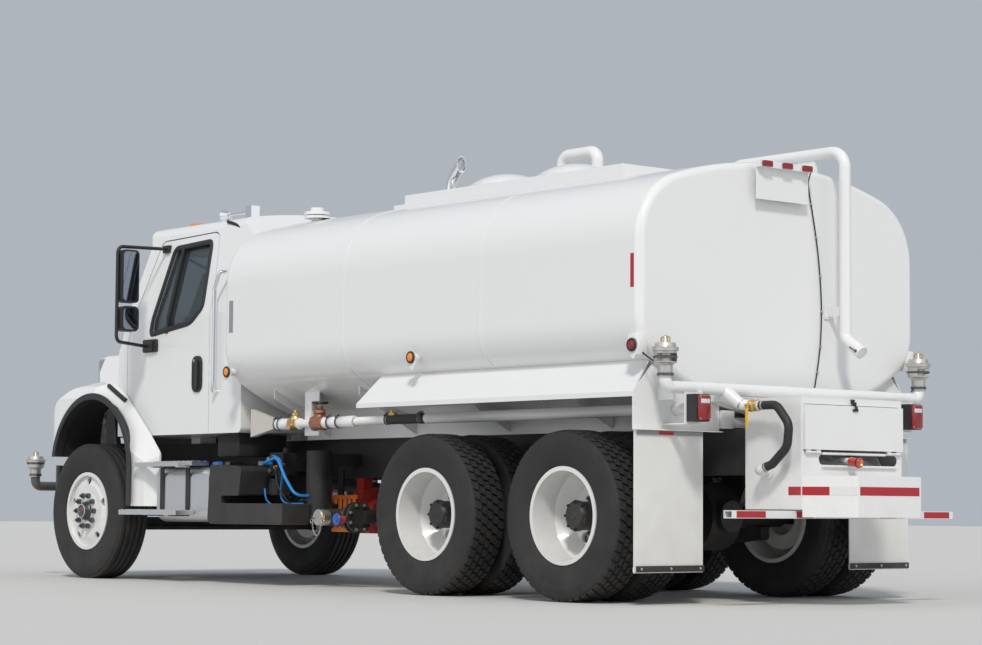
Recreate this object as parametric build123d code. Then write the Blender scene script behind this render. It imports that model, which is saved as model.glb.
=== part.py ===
from build123d import *
from math import atan2, cos, radians, sin, sqrt
import os

# Water tanker truck: a conventional cab on a three-axle chassis with a steel water tank.
# Millimetres. Every x below is measured forwards from the front axle, y to the left and
# z up from the ground. Each finished piece is moved so that the origin is on the ground
# at the middle of the truck's length.

os.makedirs("parts", exist_ok=True)

# Axles, wheels and tyres
TYRE_R = 520.0
TYRE_W = 279.0
RIM_R = 285.0
BEAD_R = RIM_R + 0.3
RIM_WALL = 12.0
RIM_FLANGE_R = 299.0
RIM_W = 236.0
FRONT_TRACK_Y = 1030.0
TWIN_OUTER_Y = 1080.0
TWIN_SPACING = 340.0
MID_AXLE_X = -4275.0
AXLE_SPACING = 1330.0
REAR_AXLE_X = MID_AXLE_X - AXLE_SPACING
SPINDLE_R = 36.0
BEARING_GAP = 0.3
KINGPIN_Y = 880.0
KINGPIN_R = 22.0
SEAT_GAP = 0.3
JOINT_GAP = 6.0

# Chassis frame
FRAME_TOP = 1050.0
FRAME_DEPTH = 280.0
FRAME_Y = 430.0
FRAME_FLANGE = 85.0
FRAME_WALL = 9.0
FRAME_FRONT = 560.0
FRAME_REAR = -6420.0
FRAME_BOTTOM = FRAME_TOP - FRAME_DEPTH

# Cab
CAB_Y = 1030.0
CAB_BOTTOM = 1095.0
CAB_FRONT = -245.0
CAB_REAR = -1925.0
CAB_ROOF = 2765.0
CAB_WALL = 55.0
CAB_SHOULDER = CAB_ROOF - 785.0
CAB_BROW = CAB_ROOF - 205.0
DOOR_TOP = CAB_ROOF - 165.0
WINDOW_TOP = CAB_ROOF - 250.0
SCREEN_TOP = CAB_ROOF - 235.0
REAR_WINDOW_TOP = CAB_ROOF - 385.0
GLASS = 8.0
DOOR_FRONT = -372.0
DOOR_REAR = -1500.0
DOOR_GAP = 6.0
SWING_ROOM = 3.0
# The door's front lower edge slants from (DOOR_FRONT, DOOR_STEP_Z) to (DOOR_STEP_X, CAB_BOTTOM).
DOOR_STEP_X = -754.0
DOOR_STEP_Z = 1425.0

# Hood and fenders
HOOD_FRONT = 690.0
BUMPER_BACK = 696.0
BUMPER_FRONT = 756.0
BUMPER_LOW = 500.0
BUMPER_TOP = 880.0
HOOD_TOP = 1800.0
HOOD_HALF = 880.0
HOOD_BACK = -240.0
HOOD_WALL = 30.0
HOOD_PIVOT_X = 716.0
HOOD_PIVOT_Z = 842.0
LUG_R = 22.0
FENDER_Y = 1160.0
FENDER_TOP = 1500.0
FENDER_BOTTOM = 560.0
FENDER_NOSE_Z = 945.0
FENDER_SWELL = 30.0
FENDER_REAR = -880.0
ARCH_R = 550.0
ARCH_X = -65.0
ARCH_Z = 840.0

# Water tank
TANK_FRONT = -1972.0
TANK_REAR = -6300.0
TANK_HALF = 1220.0
TANK_TOP = 2700.0
TANK_BOTTOM = 1120.0
CROWN_R = 3100.0
BELLY_R = 2000.0
TOP_CORNER_R = 430.0
LOW_CORNER_R = 300.0
HEAD_R = 45.0

# Rear and front fittings
PIPE_R = 37.0
PIPE_WALL = 4.0
ELBOW_R = 50.0
SPRAY_REAR_X = -6420.0
SPRAY_REAR_Y = 1125.0
SPRAY_REAR_Z = 1275.0
SPRAY_FRONT_X = 972.0
SPRAY_FRONT_Y = 1050.0
SPRAY_FRONT_Z = 715.0
FRONT_HEAD_Z = 790.0
REAR_HEAD_Z = 1330.0
HEAD_FLANGE_R = 78.0
BUMPER_REAR_X = -7150.0

FRONT_REACH = SPRAY_FRONT_X + HEAD_FLANGE_R
REAR_REACH = -BUMPER_REAR_X
ORIGIN_X = (REAR_REACH - FRONT_REACH) / 2

PIECES = {}


def keep(name, shape):
    PIECES[name] = shape


def box(x0, x1, y0, y1, z0, z1):
    size = (abs(x1 - x0), abs(y1 - y0), abs(z1 - z0))
    return Pos((x0 + x1) / 2, (y0 + y1) / 2, (z0 + z1) / 2) * Box(*size)


def rod(start, end, r0, r1=None):
    # A round bar, or a cone when r1 is given, from one point to another.
    a, b = Vector(*start), Vector(*end)
    plane = Plane(origin=a, z_dir=b - a)
    length = (b - a).length
    if r1 is None or abs(r1 - r0) < 0.01:
        return extrude(plane * Circle(r0), amount=length)
    return plane * Pos(0, 0, length / 2) * Cone(r0, r1, length)


def pipe(points, bend, radius, wall=0.0):
    # A round tube along straight runs with bends of one radius, or one radius a corner.
    path = FilletPolyline(*points, radius=bend) if len(points) > 2 else Line(*points)
    section = Circle(radius)
    if wall:
        section -= Circle(radius - wall)
    return sweep(Plane(origin=path @ 0, z_dir=path % 0) * section, path=path)


def outline(points):
    # Points are (u, v) or (u, v, corner radius).
    face = Polygon(*[(p[0], p[1]) for p in points], align=None)
    for p in points:
        if len(p) > 2 and p[2] > 0:
            corner = face.vertices().sort_by_distance((p[0], p[1], 0))[0]
            face = fillet(corner, p[2])
    return face


def side_slab(face, y0, y1):
    # A face drawn in x and z, made solid from y0 to y1.
    plane = Plane(origin=(0, y1, 0), x_dir=(1, 0, 0), z_dir=(0, -1, 0))
    return extrude(plane * face, amount=y1 - y0, dir=(0, -1, 0))


def cross_slab(face, x0, x1):
    # A face drawn in y and z, made solid from x0 to x1.
    plane = Plane(origin=(x0, 0, 0), x_dir=(0, 1, 0), z_dir=(1, 0, 0))
    return extrude(plane * face, amount=x1 - x0, dir=(1, 0, 0))


def plan_slab(face, z0, z1):
    # A face drawn in x and y, made solid from z0 to z1.
    return extrude(Plane(origin=(0, 0, z0)) * face, amount=z1 - z0, dir=(0, 0, 1))


def other_side(shape):
    return mirror(shape, about=Plane.XZ)


def both_sides(shape):
    return shape + other_side(shape)


def group(*shapes):
    # Solids that do not touch, kept as one piece.
    solids = []
    for shape in shapes:
        solids.extend(shape.solids())
    return Compound(children=solids)


def turned(profile, centre, side):
    # A profile in (distance from the axle line, y) turned about the wheel's own axis.
    # side is +1 on the left and -1 on the right.
    wheel = revolve(Plane(origin=(0, 0, 0), x_dir=(1, 0, 0), z_dir=(0, 0, 1)) * profile, axis=Axis.Y)
    if side < 0:
        wheel = mirror(wheel, about=Plane.XZ)
    return Pos(centre[0], 0, centre[2]) * wheel


# Tyres and wheels
def tyre_profile(centre_y):
    # Bead, bulged sidewall, shoulder and crown, in straight lines
    half = TYRE_W / 2
    right = [(BEAD_R, RIM_W / 2 - 26), (BEAD_R + 60, half - 6), (BEAD_R + 130, half),
             (TYRE_R - 14, half - 16),
             (TYRE_R - 3, half - 40), (TYRE_R, 0)]
    points = [(r, centre_y + y) for r, y in right] + [(r, centre_y - y) for r, y in right[-2::-1]]
    return Polygon(*points, align=None)


def rim_profile(centre_y, disc_y, hub_r, wall=RIM_WALL):
    # Rim barrel with its two flanges, and the disc that drops to the hub face.
    half = RIM_W / 2
    out = 1 if disc_y > centre_y else -1
    edge = centre_y + out * half
    back = centre_y - out * half
    disc_in = disc_y - out * wall
    barrel = RIM_R - wall
    points = [
        (barrel, back), (RIM_FLANGE_R, back), (RIM_FLANGE_R, back + out * 10), (RIM_R, back + out * 18),
        (RIM_R, edge - out * 18), (RIM_FLANGE_R, edge - out * 10), (RIM_FLANGE_R, edge),
        (barrel, edge), (barrel, edge - out * 30), (205.0, disc_y), (hub_r, disc_y),
        (hub_r, disc_in), (200.0, disc_in), (barrel, edge - out * 55),
    ]
    return Polygon(*points, align=None)


def biggest(shape):
    # The one solid that matters after cuts that leave slivers behind.
    return max(shape.solids(), key=lambda solid: solid.volume)


def holes_round(count, pitch_r, hole_r, y0, y1, turn=0.0):
    cuts = []
    for index in range(count):
        angle = radians(turn + 360.0 * index / count)
        x, z = pitch_r * cos(angle), pitch_r * sin(angle)
        cuts.append(rod((x, y0, z), (x, y1, z), hole_r))
    return cuts


def front_wheel(side):
    disc_y = FRONT_TRACK_Y + 108
    disc = turned(rim_profile(FRONT_TRACK_Y, disc_y, 95.0), (0, 0, 0), 1)
    for cut in holes_round(5, 232.0, 30.0, disc_y - 60, disc_y + 20, 90.0):
        disc -= cut
    hub = turned(Polygon((0, disc_y + 60), (52, disc_y + 60), (58, disc_y + 12), (100, disc_y + 12),
                         (140, disc_y + 8), (140, disc_y - RIM_WALL - 8), (205, disc_y - RIM_WALL - 20),
                         (212, FRONT_TRACK_Y - 70), (120, FRONT_TRACK_Y - 70),
                         (112, FRONT_TRACK_Y - 40), (SPINDLE_R + BEARING_GAP, FRONT_TRACK_Y - 40),
                         (SPINDLE_R + BEARING_GAP, disc_y + 30), (0, disc_y + 30), align=None),
                 (0, 0, 0), 1)
    wheel = disc + hub
    if side < 0:
        wheel = other_side(wheel)
    return Pos(0, 0, TYRE_R) * wheel


def twin_wheel(x, side):
    face_y = TWIN_OUTER_Y - TWIN_SPACING / 2
    outer = turned(rim_profile(TWIN_OUTER_Y, face_y, 95.0), (0, 0, 0), 1)
    inner = turned(rim_profile(TWIN_OUTER_Y - TWIN_SPACING, face_y, 95.0), (0, 0, 0), 1)
    discs = outer + inner
    for cut in holes_round(5, 165.0, 32.0, face_y - 60, face_y + 60, 90.0):
        discs -= cut
    hub = turned(Polygon((0, face_y + 190), (70, face_y + 190), (82, face_y + 178), (86, face_y + 30),
                         (130, face_y + 22), (130, face_y - 22), (205, face_y - 40),
                         (212, face_y - 195), (120, face_y - 195), (112, face_y - 60),
                         (SPINDLE_R + 14 + BEARING_GAP, face_y - 60),
                         (SPINDLE_R + 14 + BEARING_GAP, face_y + 100), (0, face_y + 100), align=None),
                 (0, 0, 0), 1)
    wheel = discs + hub
    if side < 0:
        wheel = other_side(wheel)
    return Pos(x, 0, TYRE_R) * wheel


SIDES = [("left", 1), ("right", -1)]
AXLES = [("mid", MID_AXLE_X), ("rear", REAR_AXLE_X)]

for label, side in SIDES:
    keep("tyre_front_" + label, turned(tyre_profile(FRONT_TRACK_Y), (0, 0, TYRE_R), side))
    keep("wheel_front_" + label, front_wheel(side))
    for axle, x in AXLES:
        twins = [turned(tyre_profile(TWIN_OUTER_Y - row * TWIN_SPACING), (x, 0, TYRE_R), side)
                 for row in range(2)]
        keep("tyres_" + axle + "_" + label, group(*twins))
        keep("wheels_" + axle + "_" + label, twin_wheel(x, side))

# Chassis frame: two channel rails joined by cross members
CROSSMEMBERS = [-1150.0, -2250.0, -3450.0, -4275.0 - 660.0, -6250.0]


def frame_rails():
    y0, y1 = FRAME_Y - FRAME_FLANGE, FRAME_Y
    channel = Polygon((y0, FRAME_BOTTOM), (y1, FRAME_BOTTOM), (y1, FRAME_TOP), (y0, FRAME_TOP),
                      (y0, FRAME_TOP - FRAME_WALL), (y1 - FRAME_WALL, FRAME_TOP - FRAME_WALL),
                      (y1 - FRAME_WALL, FRAME_BOTTOM + FRAME_WALL), (y0, FRAME_BOTTOM + FRAME_WALL),
                      align=None)
    frame = both_sides(cross_slab(channel, FRAME_REAR, FRAME_FRONT))
    inner = FRAME_Y - FRAME_WALL
    for x in CROSSMEMBERS:
        web = box(x - 5, x + 5, -inner, inner, FRAME_TOP - 120, FRAME_TOP - FRAME_WALL)
        lip = box(x - 60, x + 5, -inner, inner, FRAME_TOP - FRAME_WALL - 8, FRAME_TOP - FRAME_WALL)
        frame += web + lip
    return frame


# Front axle, springs, knuckles and tie rod
BEAM_Z = 430.0
BEAM_H = 90.0
BEAM_HALF_WIDTH = 45.0
SPRING_Y = 400.0
SPRING_W = 70.0
SPRING_T = 38.0
SPRING_FRONT_X = 500.0
SPRING_REAR_X = -700.0
EYE_Z = 660.0
TIE_X = -190.0
TIE_Y = KINGPIN_Y
TIE_Z = 395.0
TIE_R = 19.0
BALL_R = 16.0
FORK_GAP = 1.0


def front_axle():
    beam_top = BEAM_Z + BEAM_H / 2
    web = box(-12, 12, -760, 760, BEAM_Z - BEAM_H / 2, beam_top)
    flanges = box(-BEAM_HALF_WIDTH, BEAM_HALF_WIDTH, -760, 760, beam_top - 18, beam_top)
    flanges += box(-BEAM_HALF_WIDTH, BEAM_HALF_WIDTH, -760, 760, BEAM_Z - BEAM_H / 2,
                   BEAM_Z - BEAM_H / 2 + 18)
    beam = web + flanges
    # The beam's end rises to the boss round the kingpin.
    low, high = TYRE_R - 45, TYRE_R + 45
    end = Polygon((740, BEAM_Z - BEAM_H / 2), (740, beam_top), (830, high), (KINGPIN_Y, high),
                  (KINGPIN_Y, low), (785, low), align=None)
    arm = cross_slab(end, -BEAM_HALF_WIDTH + 5, BEAM_HALF_WIDTH - 5)
    boss = rod((0, KINGPIN_Y, low), (0, KINGPIN_Y, high), 40)
    end_piece = arm + boss
    end_piece += rod((0, KINGPIN_Y, low - 40), (0, KINGPIN_Y, high + 40), KINGPIN_R)
    axle = beam + both_sides(end_piece)
    return axle


def front_springs():
    # Two-leaf springs, arched between their eyes, with hangers bolted to the rails.
    top = BEAM_Z + BEAM_H / 2 + SEAT_GAP
    y0, y1 = SPRING_Y - SPRING_W / 2, SPRING_Y + SPRING_W / 2
    lower = ThreePointArc((SPRING_REAR_X, EYE_Z), (0, top + 6), (SPRING_FRONT_X, EYE_Z))
    upper = ThreePointArc((SPRING_REAR_X, EYE_Z + SPRING_T), (0, top + 6 + SPRING_T),
                          (SPRING_FRONT_X, EYE_Z + SPRING_T))
    ends = [Line(lower @ 0, upper @ 0), Line(lower @ 1, upper @ 1)]
    leaf = side_slab(make_face([lower, upper] + ends), y0, y1)
    leaf += box(-80, 80, y0, y1, top, top + 20)
    for x in (SPRING_FRONT_X, SPRING_REAR_X):
        eye_z = EYE_Z + SPRING_T / 2
        leaf += rod((x, y0, eye_z), (x, y1, eye_z), 38)
        hanger = side_slab(outline([(x - 45, eye_z - 55, 20), (x + 45, eye_z - 55, 20),
                                    (x + 75, FRAME_BOTTOM + 120), (x - 75, FRAME_BOTTOM + 120)]),
                           FRAME_Y + SEAT_GAP, FRAME_Y + 14)
        pin = rod((x, y1 - 2, eye_z), (x, FRAME_Y + 14, eye_z), 18)
        leaf += hanger + pin
    clamp = box(-90, 90, y0 - 14, y1 + 14, top + SPRING_T - 4, top + SPRING_T + 34)
    leaf += clamp
    return both_sides(leaf)


def knuckle():
    # Fork round the axle boss, spindle for the hub, and the arm for the tie rod.
    low, high = TYRE_R - 45 - FORK_GAP, TYRE_R + 45 + FORK_GAP
    plate_y0, plate_y1 = KINGPIN_Y + 50, KINGPIN_Y + 74
    fork = box(-38, 38, plate_y0, plate_y1, low - 42, high + 42)
    for z0, z1 in ((low - 42, low), (high, high + 42)):
        ear = rod((0, KINGPIN_Y, z0), (0, KINGPIN_Y, z1), 38) + box(-38, 38, KINGPIN_Y, plate_y0 + 5, z0, z1)
        fork += ear
    fork -= rod((0, KINGPIN_Y, low - 60), (0, KINGPIN_Y, high + 60), KINGPIN_R + BEARING_GAP)
    spindle_end = FRONT_TRACK_Y + 118
    fork += rod((0, plate_y0 + 5, TYRE_R), (0, spindle_end, TYRE_R), SPINDLE_R)
    # The arm runs back and in from the lower ear to the ball.
    arm = plan_slab(Polygon((-20, KINGPIN_Y + 30), (-38, KINGPIN_Y - 20), (TIE_X - 24, TIE_Y - 22),
                            (TIE_X - 24, TIE_Y + 22), align=None),
                    low - 42, low - 14)
    ball = rod((TIE_X, TIE_Y, TIE_Z + TIE_R + 4), (TIE_X, TIE_Y, low - 20), BALL_R)
    return fork + arm + ball


def tie_rod():
    bar = rod((TIE_X, -TIE_Y, TIE_Z), (TIE_X, TIE_Y, TIE_Z), TIE_R)
    for y in (-TIE_Y, TIE_Y):
        bar += rod((TIE_X, y, TIE_Z - 24), (TIE_X, y, TIE_Z + 24), 30)
    for y in (-TIE_Y, TIE_Y):
        bar -= rod((TIE_X, y, TIE_Z - 2), (TIE_X, y, TIE_Z + 40), BALL_R + BEARING_GAP)
    return bar


keep("frame_rails", frame_rails())
keep("front_axle", group(front_axle(), front_springs()))
keep("knuckle_left", knuckle())
keep("knuckle_right", other_side(knuckle()))
keep("tie_rod", tie_rod())

# Engine as a plain block, and the gearbox and shafts behind it
ENGINE_FRONT = 470.0
ENGINE_REAR = -270.0


def driveline():
    parts = rod((ENGINE_REAR - SEAT_GAP, 0, 800), (-560, 0, 800), 235, 170)
    parts += rod((-555, 0, 800), (-1050, 0, 790), 160, 140)
    parts += rod((-1045, 0, 790), (-1110, 0, 790), 75)
    parts += rod((-1100, 0, 790), (MID_AXLE_X + 268, 0, TYRE_R + 22), 48)
    parts -= box(MID_AXLE_X, MID_AXLE_X + 255 + SEAT_GAP, -200, 200, 300, 800)
    parts += rod((MID_AXLE_X + 285, 0, TYRE_R), (MID_AXLE_X + 255 + SEAT_GAP, 0, TYRE_R), 85)
    shaft = rod((MID_AXLE_X - 262, 0, TYRE_R), (REAR_AXLE_X + 262, 0, TYRE_R), 42)
    for x in (MID_AXLE_X - 255 - SEAT_GAP, REAR_AXLE_X + 255 + SEAT_GAP):
        reach = 30 if x < MID_AXLE_X - 300 else -30
        shaft += rod((x, 0, TYRE_R), (x + reach, 0, TYRE_R), 70)
    return group(parts, shaft)


def rear_axles():
    axles = []
    for row, x in AXLES:
        axle = rod((x, -690, TYRE_R), (x, 690, TYRE_R), 68)
        end = TWIN_OUTER_Y - TWIN_SPACING / 2 + 90
        axle += rod((x, -end, TYRE_R), (x, end, TYRE_R), SPINDLE_R + 14)
        axle += rod((x, -130, TYRE_R), (x, 130, TYRE_R), 215, 215)
        axle += rod((x - 255, 0, TYRE_R), (x + 255, 0, TYRE_R), 100)
        axles.append(axle)
    return group(*axles)


BEAM_Y = 500.0
TANDEM_X = MID_AXLE_X - AXLE_SPACING / 2


def rear_suspension():
    # A walking beam a side, hung from the frame by a saddle, with its ends under the axles.
    y0, y1 = BEAM_Y - 38, BEAM_Y + 38
    drop = TYRE_R - 68 - SEAT_GAP
    ends = (REAR_AXLE_X, MID_AXLE_X)
    body = outline([(ends[0] - 60, drop - 80, 25), (TANDEM_X, drop - 150, 60), (ends[1] + 60, drop - 80, 25),
                    (ends[1] + 60, drop), (ends[1] - 60, drop), (TANDEM_X + 90, drop - 30, 40),
                    (TANDEM_X - 90, drop - 30, 40), (ends[0] + 60, drop), (ends[0] - 60, drop)])
    beam = side_slab(body, y0, y1)
    saddle = side_slab(outline([(TANDEM_X - 70, drop - 60), (TANDEM_X + 70, drop - 60),
                                (TANDEM_X + 190, FRAME_BOTTOM + 60, 20),
                                (TANDEM_X - 190, FRAME_BOTTOM + 60, 20)]),
                       y0 + 5, y1 - 5)
    foot = box(TANDEM_X - 190, TANDEM_X + 190, FRAME_Y + SEAT_GAP, y1 - 5, FRAME_BOTTOM + 40,
               FRAME_BOTTOM + 190)
    return both_sides(beam + saddle + foot)


def engine_block():
    block = box(ENGINE_REAR, ENGINE_FRONT, -300, 300, 640, 1420)
    block -= box(CAB_FRONT - 200, CAB_FRONT + 40, -400, 400, CAB_BOTTOM - 40, 1500)
    sump = box(ENGINE_REAR + 60, ENGINE_FRONT - 60, -170, 170, 560, 640)
    mounts = both_sides(box(60, 200, 295, FRAME_Y - FRAME_FLANGE - SEAT_GAP, 850, 950))
    radiator = box(ENGINE_FRONT + 30, ENGINE_FRONT + 100, -330, 330, 830, 1480)
    radiator += box(ENGINE_FRONT - 5, ENGINE_FRONT + 35, -90, 90, 1000, 1250)
    return block + sump + mounts + radiator


keep("powertrain", group(engine_block(), driveline()))
keep("rear_axles", rear_axles())
keep("rear_suspension", rear_suspension())


# Cab
def cab_section(inset):
    half = CAB_Y - inset
    roof = CAB_ROOF - inset
    low = CAB_BOTTOM + inset
    lean, drop = 125, 85
    face = make_face([
        Polyline((-half + lean, roof - drop), (-half, CAB_SHOULDER), (-half, low), (half, low),
                 (half, CAB_SHOULDER), (half - lean, roof - drop)),
        ThreePointArc((half - lean, roof - drop), (0, roof), (-half + lean, roof - drop)),
    ])
    for side in (-1, 1):
        corner = face.vertices().sort_by_distance((side * (half - lean), roof - drop, 0))[0]
        face = fillet(corner, 90 - inset / 2)
    return face


def cab_profile(inset):
    front, rear = CAB_FRONT - inset, CAB_REAR + inset
    top, low = CAB_ROOF + 40, CAB_BOTTOM + inset
    slope = inset * 0.9
    return outline([(front, low), (front, 1750), (front - 35 - slope * 0.3, 1800),
                    (front - 295 - slope, CAB_BROW, 30), (front - 250 - slope, top - 120 - inset, 30),
                    (front - 700, top - 10 - inset, 300), (rear + 330, top - 10 - inset, 60),
                    (rear + 30, CAB_BROW, 60), (rear, low, 40)])


def cab_form(inset):
    return cross_slab(cab_section(inset), CAB_REAR - 50, CAB_FRONT + 50) & side_slab(
        cab_profile(inset), -CAB_Y - 50, CAB_Y + 50)


def door_outline(grow):
    # The left door as seen from its side: grow makes the opening that it closes.
    return outline([(DOOR_FRONT + grow, DOOR_STEP_Z), (DOOR_FRONT + grow, 1800),
                    (-690 + grow, DOOR_TOP - 20 + grow, 70),
                    (DOOR_REAR + 45 - grow, DOOR_TOP + grow, 70), (DOOR_REAR - grow, DOOR_TOP - 350),
                    (DOOR_REAR - grow, CAB_BOTTOM - 30), (DOOR_STEP_X + grow, CAB_BOTTOM - 30),
                    (DOOR_STEP_X + grow, CAB_BOTTOM)])


def window_outline(grow):
    return outline([(-690 + grow, 1862 - grow, 40), (-880 + grow * 0.8, WINDOW_TOP + grow, 50),
                    (-1375 - grow, WINDOW_TOP + 20 + grow, 60), (-1390 - grow, 2030, 60),
                    (-1240, 1925 - grow, 90)])


def divider_outline(grow):
    return Polygon((-905 + grow, 1830), (-935 - grow, 1830), (-1010 - grow, CAB_BROW),
                   (-980 + grow, CAB_BROW),
                   align=None)


def screen_zone(shrink):
    # The windscreen's outline, kept to the raked front of the cab.
    g, front = shrink, CAB_FRONT
    face = outline([(-840 + g, 1840 + g, 60), (840 - g, 1840 + g, 60), (760 - g, SCREEN_TOP - g, 80),
                    (-760 + g, SCREEN_TOP - g, 80)])
    raked = Polygon((front + 60, 1840), (front - 130, 1810), (front - 420, CAB_BROW),
                    (front - 200, CAB_BROW + 80),
                    (front + 60, CAB_BROW + 80), align=None)
    return cross_slab(face, front - 520, front + 60) & side_slab(raked, -900, 900)


def rear_window_zone(shrink):
    g = shrink
    face = outline([(-560 + g, 1980 + g, 60), (560 - g, 1980 + g, 60), (560 - g, REAR_WINDOW_TOP - g, 60),
                    (-560 + g, REAR_WINDOW_TOP - g, 60)])
    return cross_slab(face, CAB_REAR - 60, CAB_REAR + 90)


cab_solid = cab_form(0)
cab_hollow = cab_form(CAB_WALL)
cab_walls = cab_solid - cab_hollow
DOOR_BAND = (CAB_Y - 260, CAB_Y + 60)


def door_zone(grow):
    # The door takes the side wall alone: the floor inside of it stays with the cab.
    sill = box(-2000, 0, 0, CAB_Y - CAB_WALL - 4 - grow, CAB_BOTTOM - 100, CAB_BOTTOM + CAB_WALL + 40)
    return side_slab(door_outline(grow), *DOOR_BAND) - sill



def cab_shell():
    shell = cab_walls
    opening = door_zone(DOOR_GAP)
    shell -= opening
    shell -= other_side(opening)
    shell -= screen_zone(0)
    shell -= rear_window_zone(0)
    # Strikers in the rear jambs, where the shut doors' latches rest
    for z in (1480, 1560):
        shell += both_sides(box(DOOR_REAR - DOOR_GAP - 4, DOOR_REAR + SWING_ROOM - 3 * SEAT_GAP, CAB_Y - 14,
                                CAB_Y - 3, z, z + 30))
    # Seat risers and floor tunnel belong to the body shell.
    for y in (-480, 480):
        shell += box(-1500, -1050, y - 190, y + 190, CAB_BOTTOM + CAB_WALL - 5, 1330)
    for x, y in ((CAB_FRONT - 180, 330), (CAB_REAR + 160, 330)):
        shell += both_sides(box(x - 60, x + 60, y - 50, FRAME_Y, FRAME_TOP + SEAT_GAP, CAB_BOTTOM + 10))
    return shell


def door():
    skin = cab_walls & door_zone(-SWING_ROOM)
    skin -= side_slab(window_outline(0), *DOOR_BAND)
    divider = cab_walls & side_slab(divider_outline(0), *DOOR_BAND)
    divider &= side_slab(window_outline(10), *DOOR_BAND)
    return skin + divider


def door_glass():
    middle = cab_form(CAB_WALL / 2 - GLASS / 2) - cab_form(CAB_WALL / 2 + GLASS / 2)
    pane = middle & side_slab(window_outline(-SEAT_GAP), *DOOR_BAND)
    return pane - side_slab(divider_outline(SEAT_GAP), *DOOR_BAND)


def cab_glass():
    middle = cab_form(CAB_WALL / 2 - GLASS / 2) - cab_form(CAB_WALL / 2 + GLASS / 2)
    return group(middle & screen_zone(SEAT_GAP), middle & rear_window_zone(SEAT_GAP))


keep("cab_shell", cab_shell())
keep("cab_glass", cab_glass())
keep("door_left", door())
keep("door_right", other_side(door()))
keep("door_glass_left", door_glass())
keep("door_glass_right", other_side(door_glass()))


# Hood with its fenders, grille and headlamps
def nose_form(inset):
    front, top, half = HOOD_FRONT - inset, HOOD_TOP - inset, HOOD_HALF - inset
    low = BUMPER_TOP + 6 if inset == 0 else 600
    back = HOOD_BACK if inset == 0 else HOOD_BACK - 200
    profile = outline([(back, low), (back, 1430), (back + 110, top), (300, top - 22, 400),
                       (490, top - 128, 180), (front, 1380, 240), (front, low)])
    section = outline([(-half, low), (half, low), (half, 1450), (half - 80, top - 45, 70), (0, top, 2000),
                       (-half + 80, top - 45, 70), (-half, 1450)])
    edge = [(250, 885 - inset), (460, 790 - inset, 120), (front - 50, 650 - inset), (front, 540 - inset)]
    right = [(p[0], -p[1], *p[2:]) for p in edge]
    plan = outline([(back, -985), (back, 985)] + edge + right[::-1])
    return side_slab(profile, -1000, 1000) & cross_slab(section, -500, 800) & plan_slab(plan, 500, 1900)


def fender():
    rear_low, step_x = (FENDER_REAR, 960), DOOR_STEP_X + DOOR_GAP * 2
    step_front = DOOR_FRONT + DOOR_GAP * 2
    edge = [(FENDER_REAR, FENDER_BOTTOM), (*rear_low, 60), (step_x, CAB_BOTTOM), (step_front, DOOR_STEP_Z),
            (-225, FENDER_TOP, 60), (60, FENDER_TOP + 32, 300), (320, FENDER_TOP - 38, 250), (470, 1375, 150),
            (562, 1250, 150), (636, 1080, 100), (645, FENDER_NOSE_Z), (300, FENDER_NOSE_Z),
            (-300, FENDER_BOTTOM)]
    body = side_slab(outline(edge), 600, FENDER_Y)
    section = outline([(500, 500), (FENDER_Y, 500), (FENDER_Y, 1400), (1120, 1485, 60), (980, 1535, 110),
                       (500, 1560)])
    plan = outline([(-900, 500), (-900, 1040), (-780, 1115, 40), (-480, FENDER_Y, 100), (540, FENDER_Y, 150),
                    (665, 1000, 120), (690, 700), (690, 500)])
    body = body & cross_slab(section, -950, 800) & plan_slab(plan, 500, 1650)
    # The skirt behind the wheel lies outside the cab and swells out from the door's slanted edge.
    body -= box(-950, CAB_FRONT + JOINT_GAP, 500, CAB_Y + JOINT_GAP, 500, 1650)
    slant = atan2(DOOR_STEP_Z - CAB_BOTTOM, step_front - step_x)
    swell = radians(FENDER_SWELL)
    flank = Plane(origin=(step_front, CAB_Y + JOINT_GAP + 2, DOOR_STEP_Z),
                  x_dir=(-cos(slant), 0, -sin(slant)),
                  z_dir=(-sin(swell) * sin(slant), cos(swell), sin(swell) * cos(slant)))
    return body - extrude(flank * Rectangle(4000, 4000), amount=600)


def arch_cut(grow):
    hole = Pos(ARCH_X, ARCH_Z) * Circle(ARCH_R + grow)
    hole += Polygon((ARCH_X - ARCH_R - grow, 400), (ARCH_X + ARCH_R + grow, 400),
                    (ARCH_X + ARCH_R + grow, ARCH_Z), (ARCH_X - ARCH_R - grow, ARCH_Z), align=None)
    return side_slab(hole, 480, FENDER_Y + 100)


def lamp_zone(grow):
    g = grow
    face = Polygon((330 - g, 1730 + g), (480 - g, 1230 - g), (760, 1200 - g), (760, 1730 + g), align=None)
    return side_slab(face, 610 - g, 945 + g)


LUG_Y = 330.0
LUG_T = 14.0
PIVOT_PIN_R = 14.0
GRILLE = [(-470, 960), (470, 960), (510, 1280), (430, 1560), (-430, 1560), (-510, 1280)]


def grille_outline(shrink):
    return outline([(y - shrink * (1 if y > 0 else -1), z + shrink * (1 if z < 1000 else -1), 50)
                    for y, z in GRILLE])


outer_nose = nose_form(0)
fenders = both_sides(fender())
hood_solid = outer_nose + fenders
hood_solid -= nose_form(HOOD_WALL)
hood_solid -= both_sides(arch_cut(0))
hood_solid -= box(-300, CAB_FRONT + JOINT_GAP, -CAB_Y - JOINT_GAP, CAB_Y + JOINT_GAP, 600, 1900)


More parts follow.
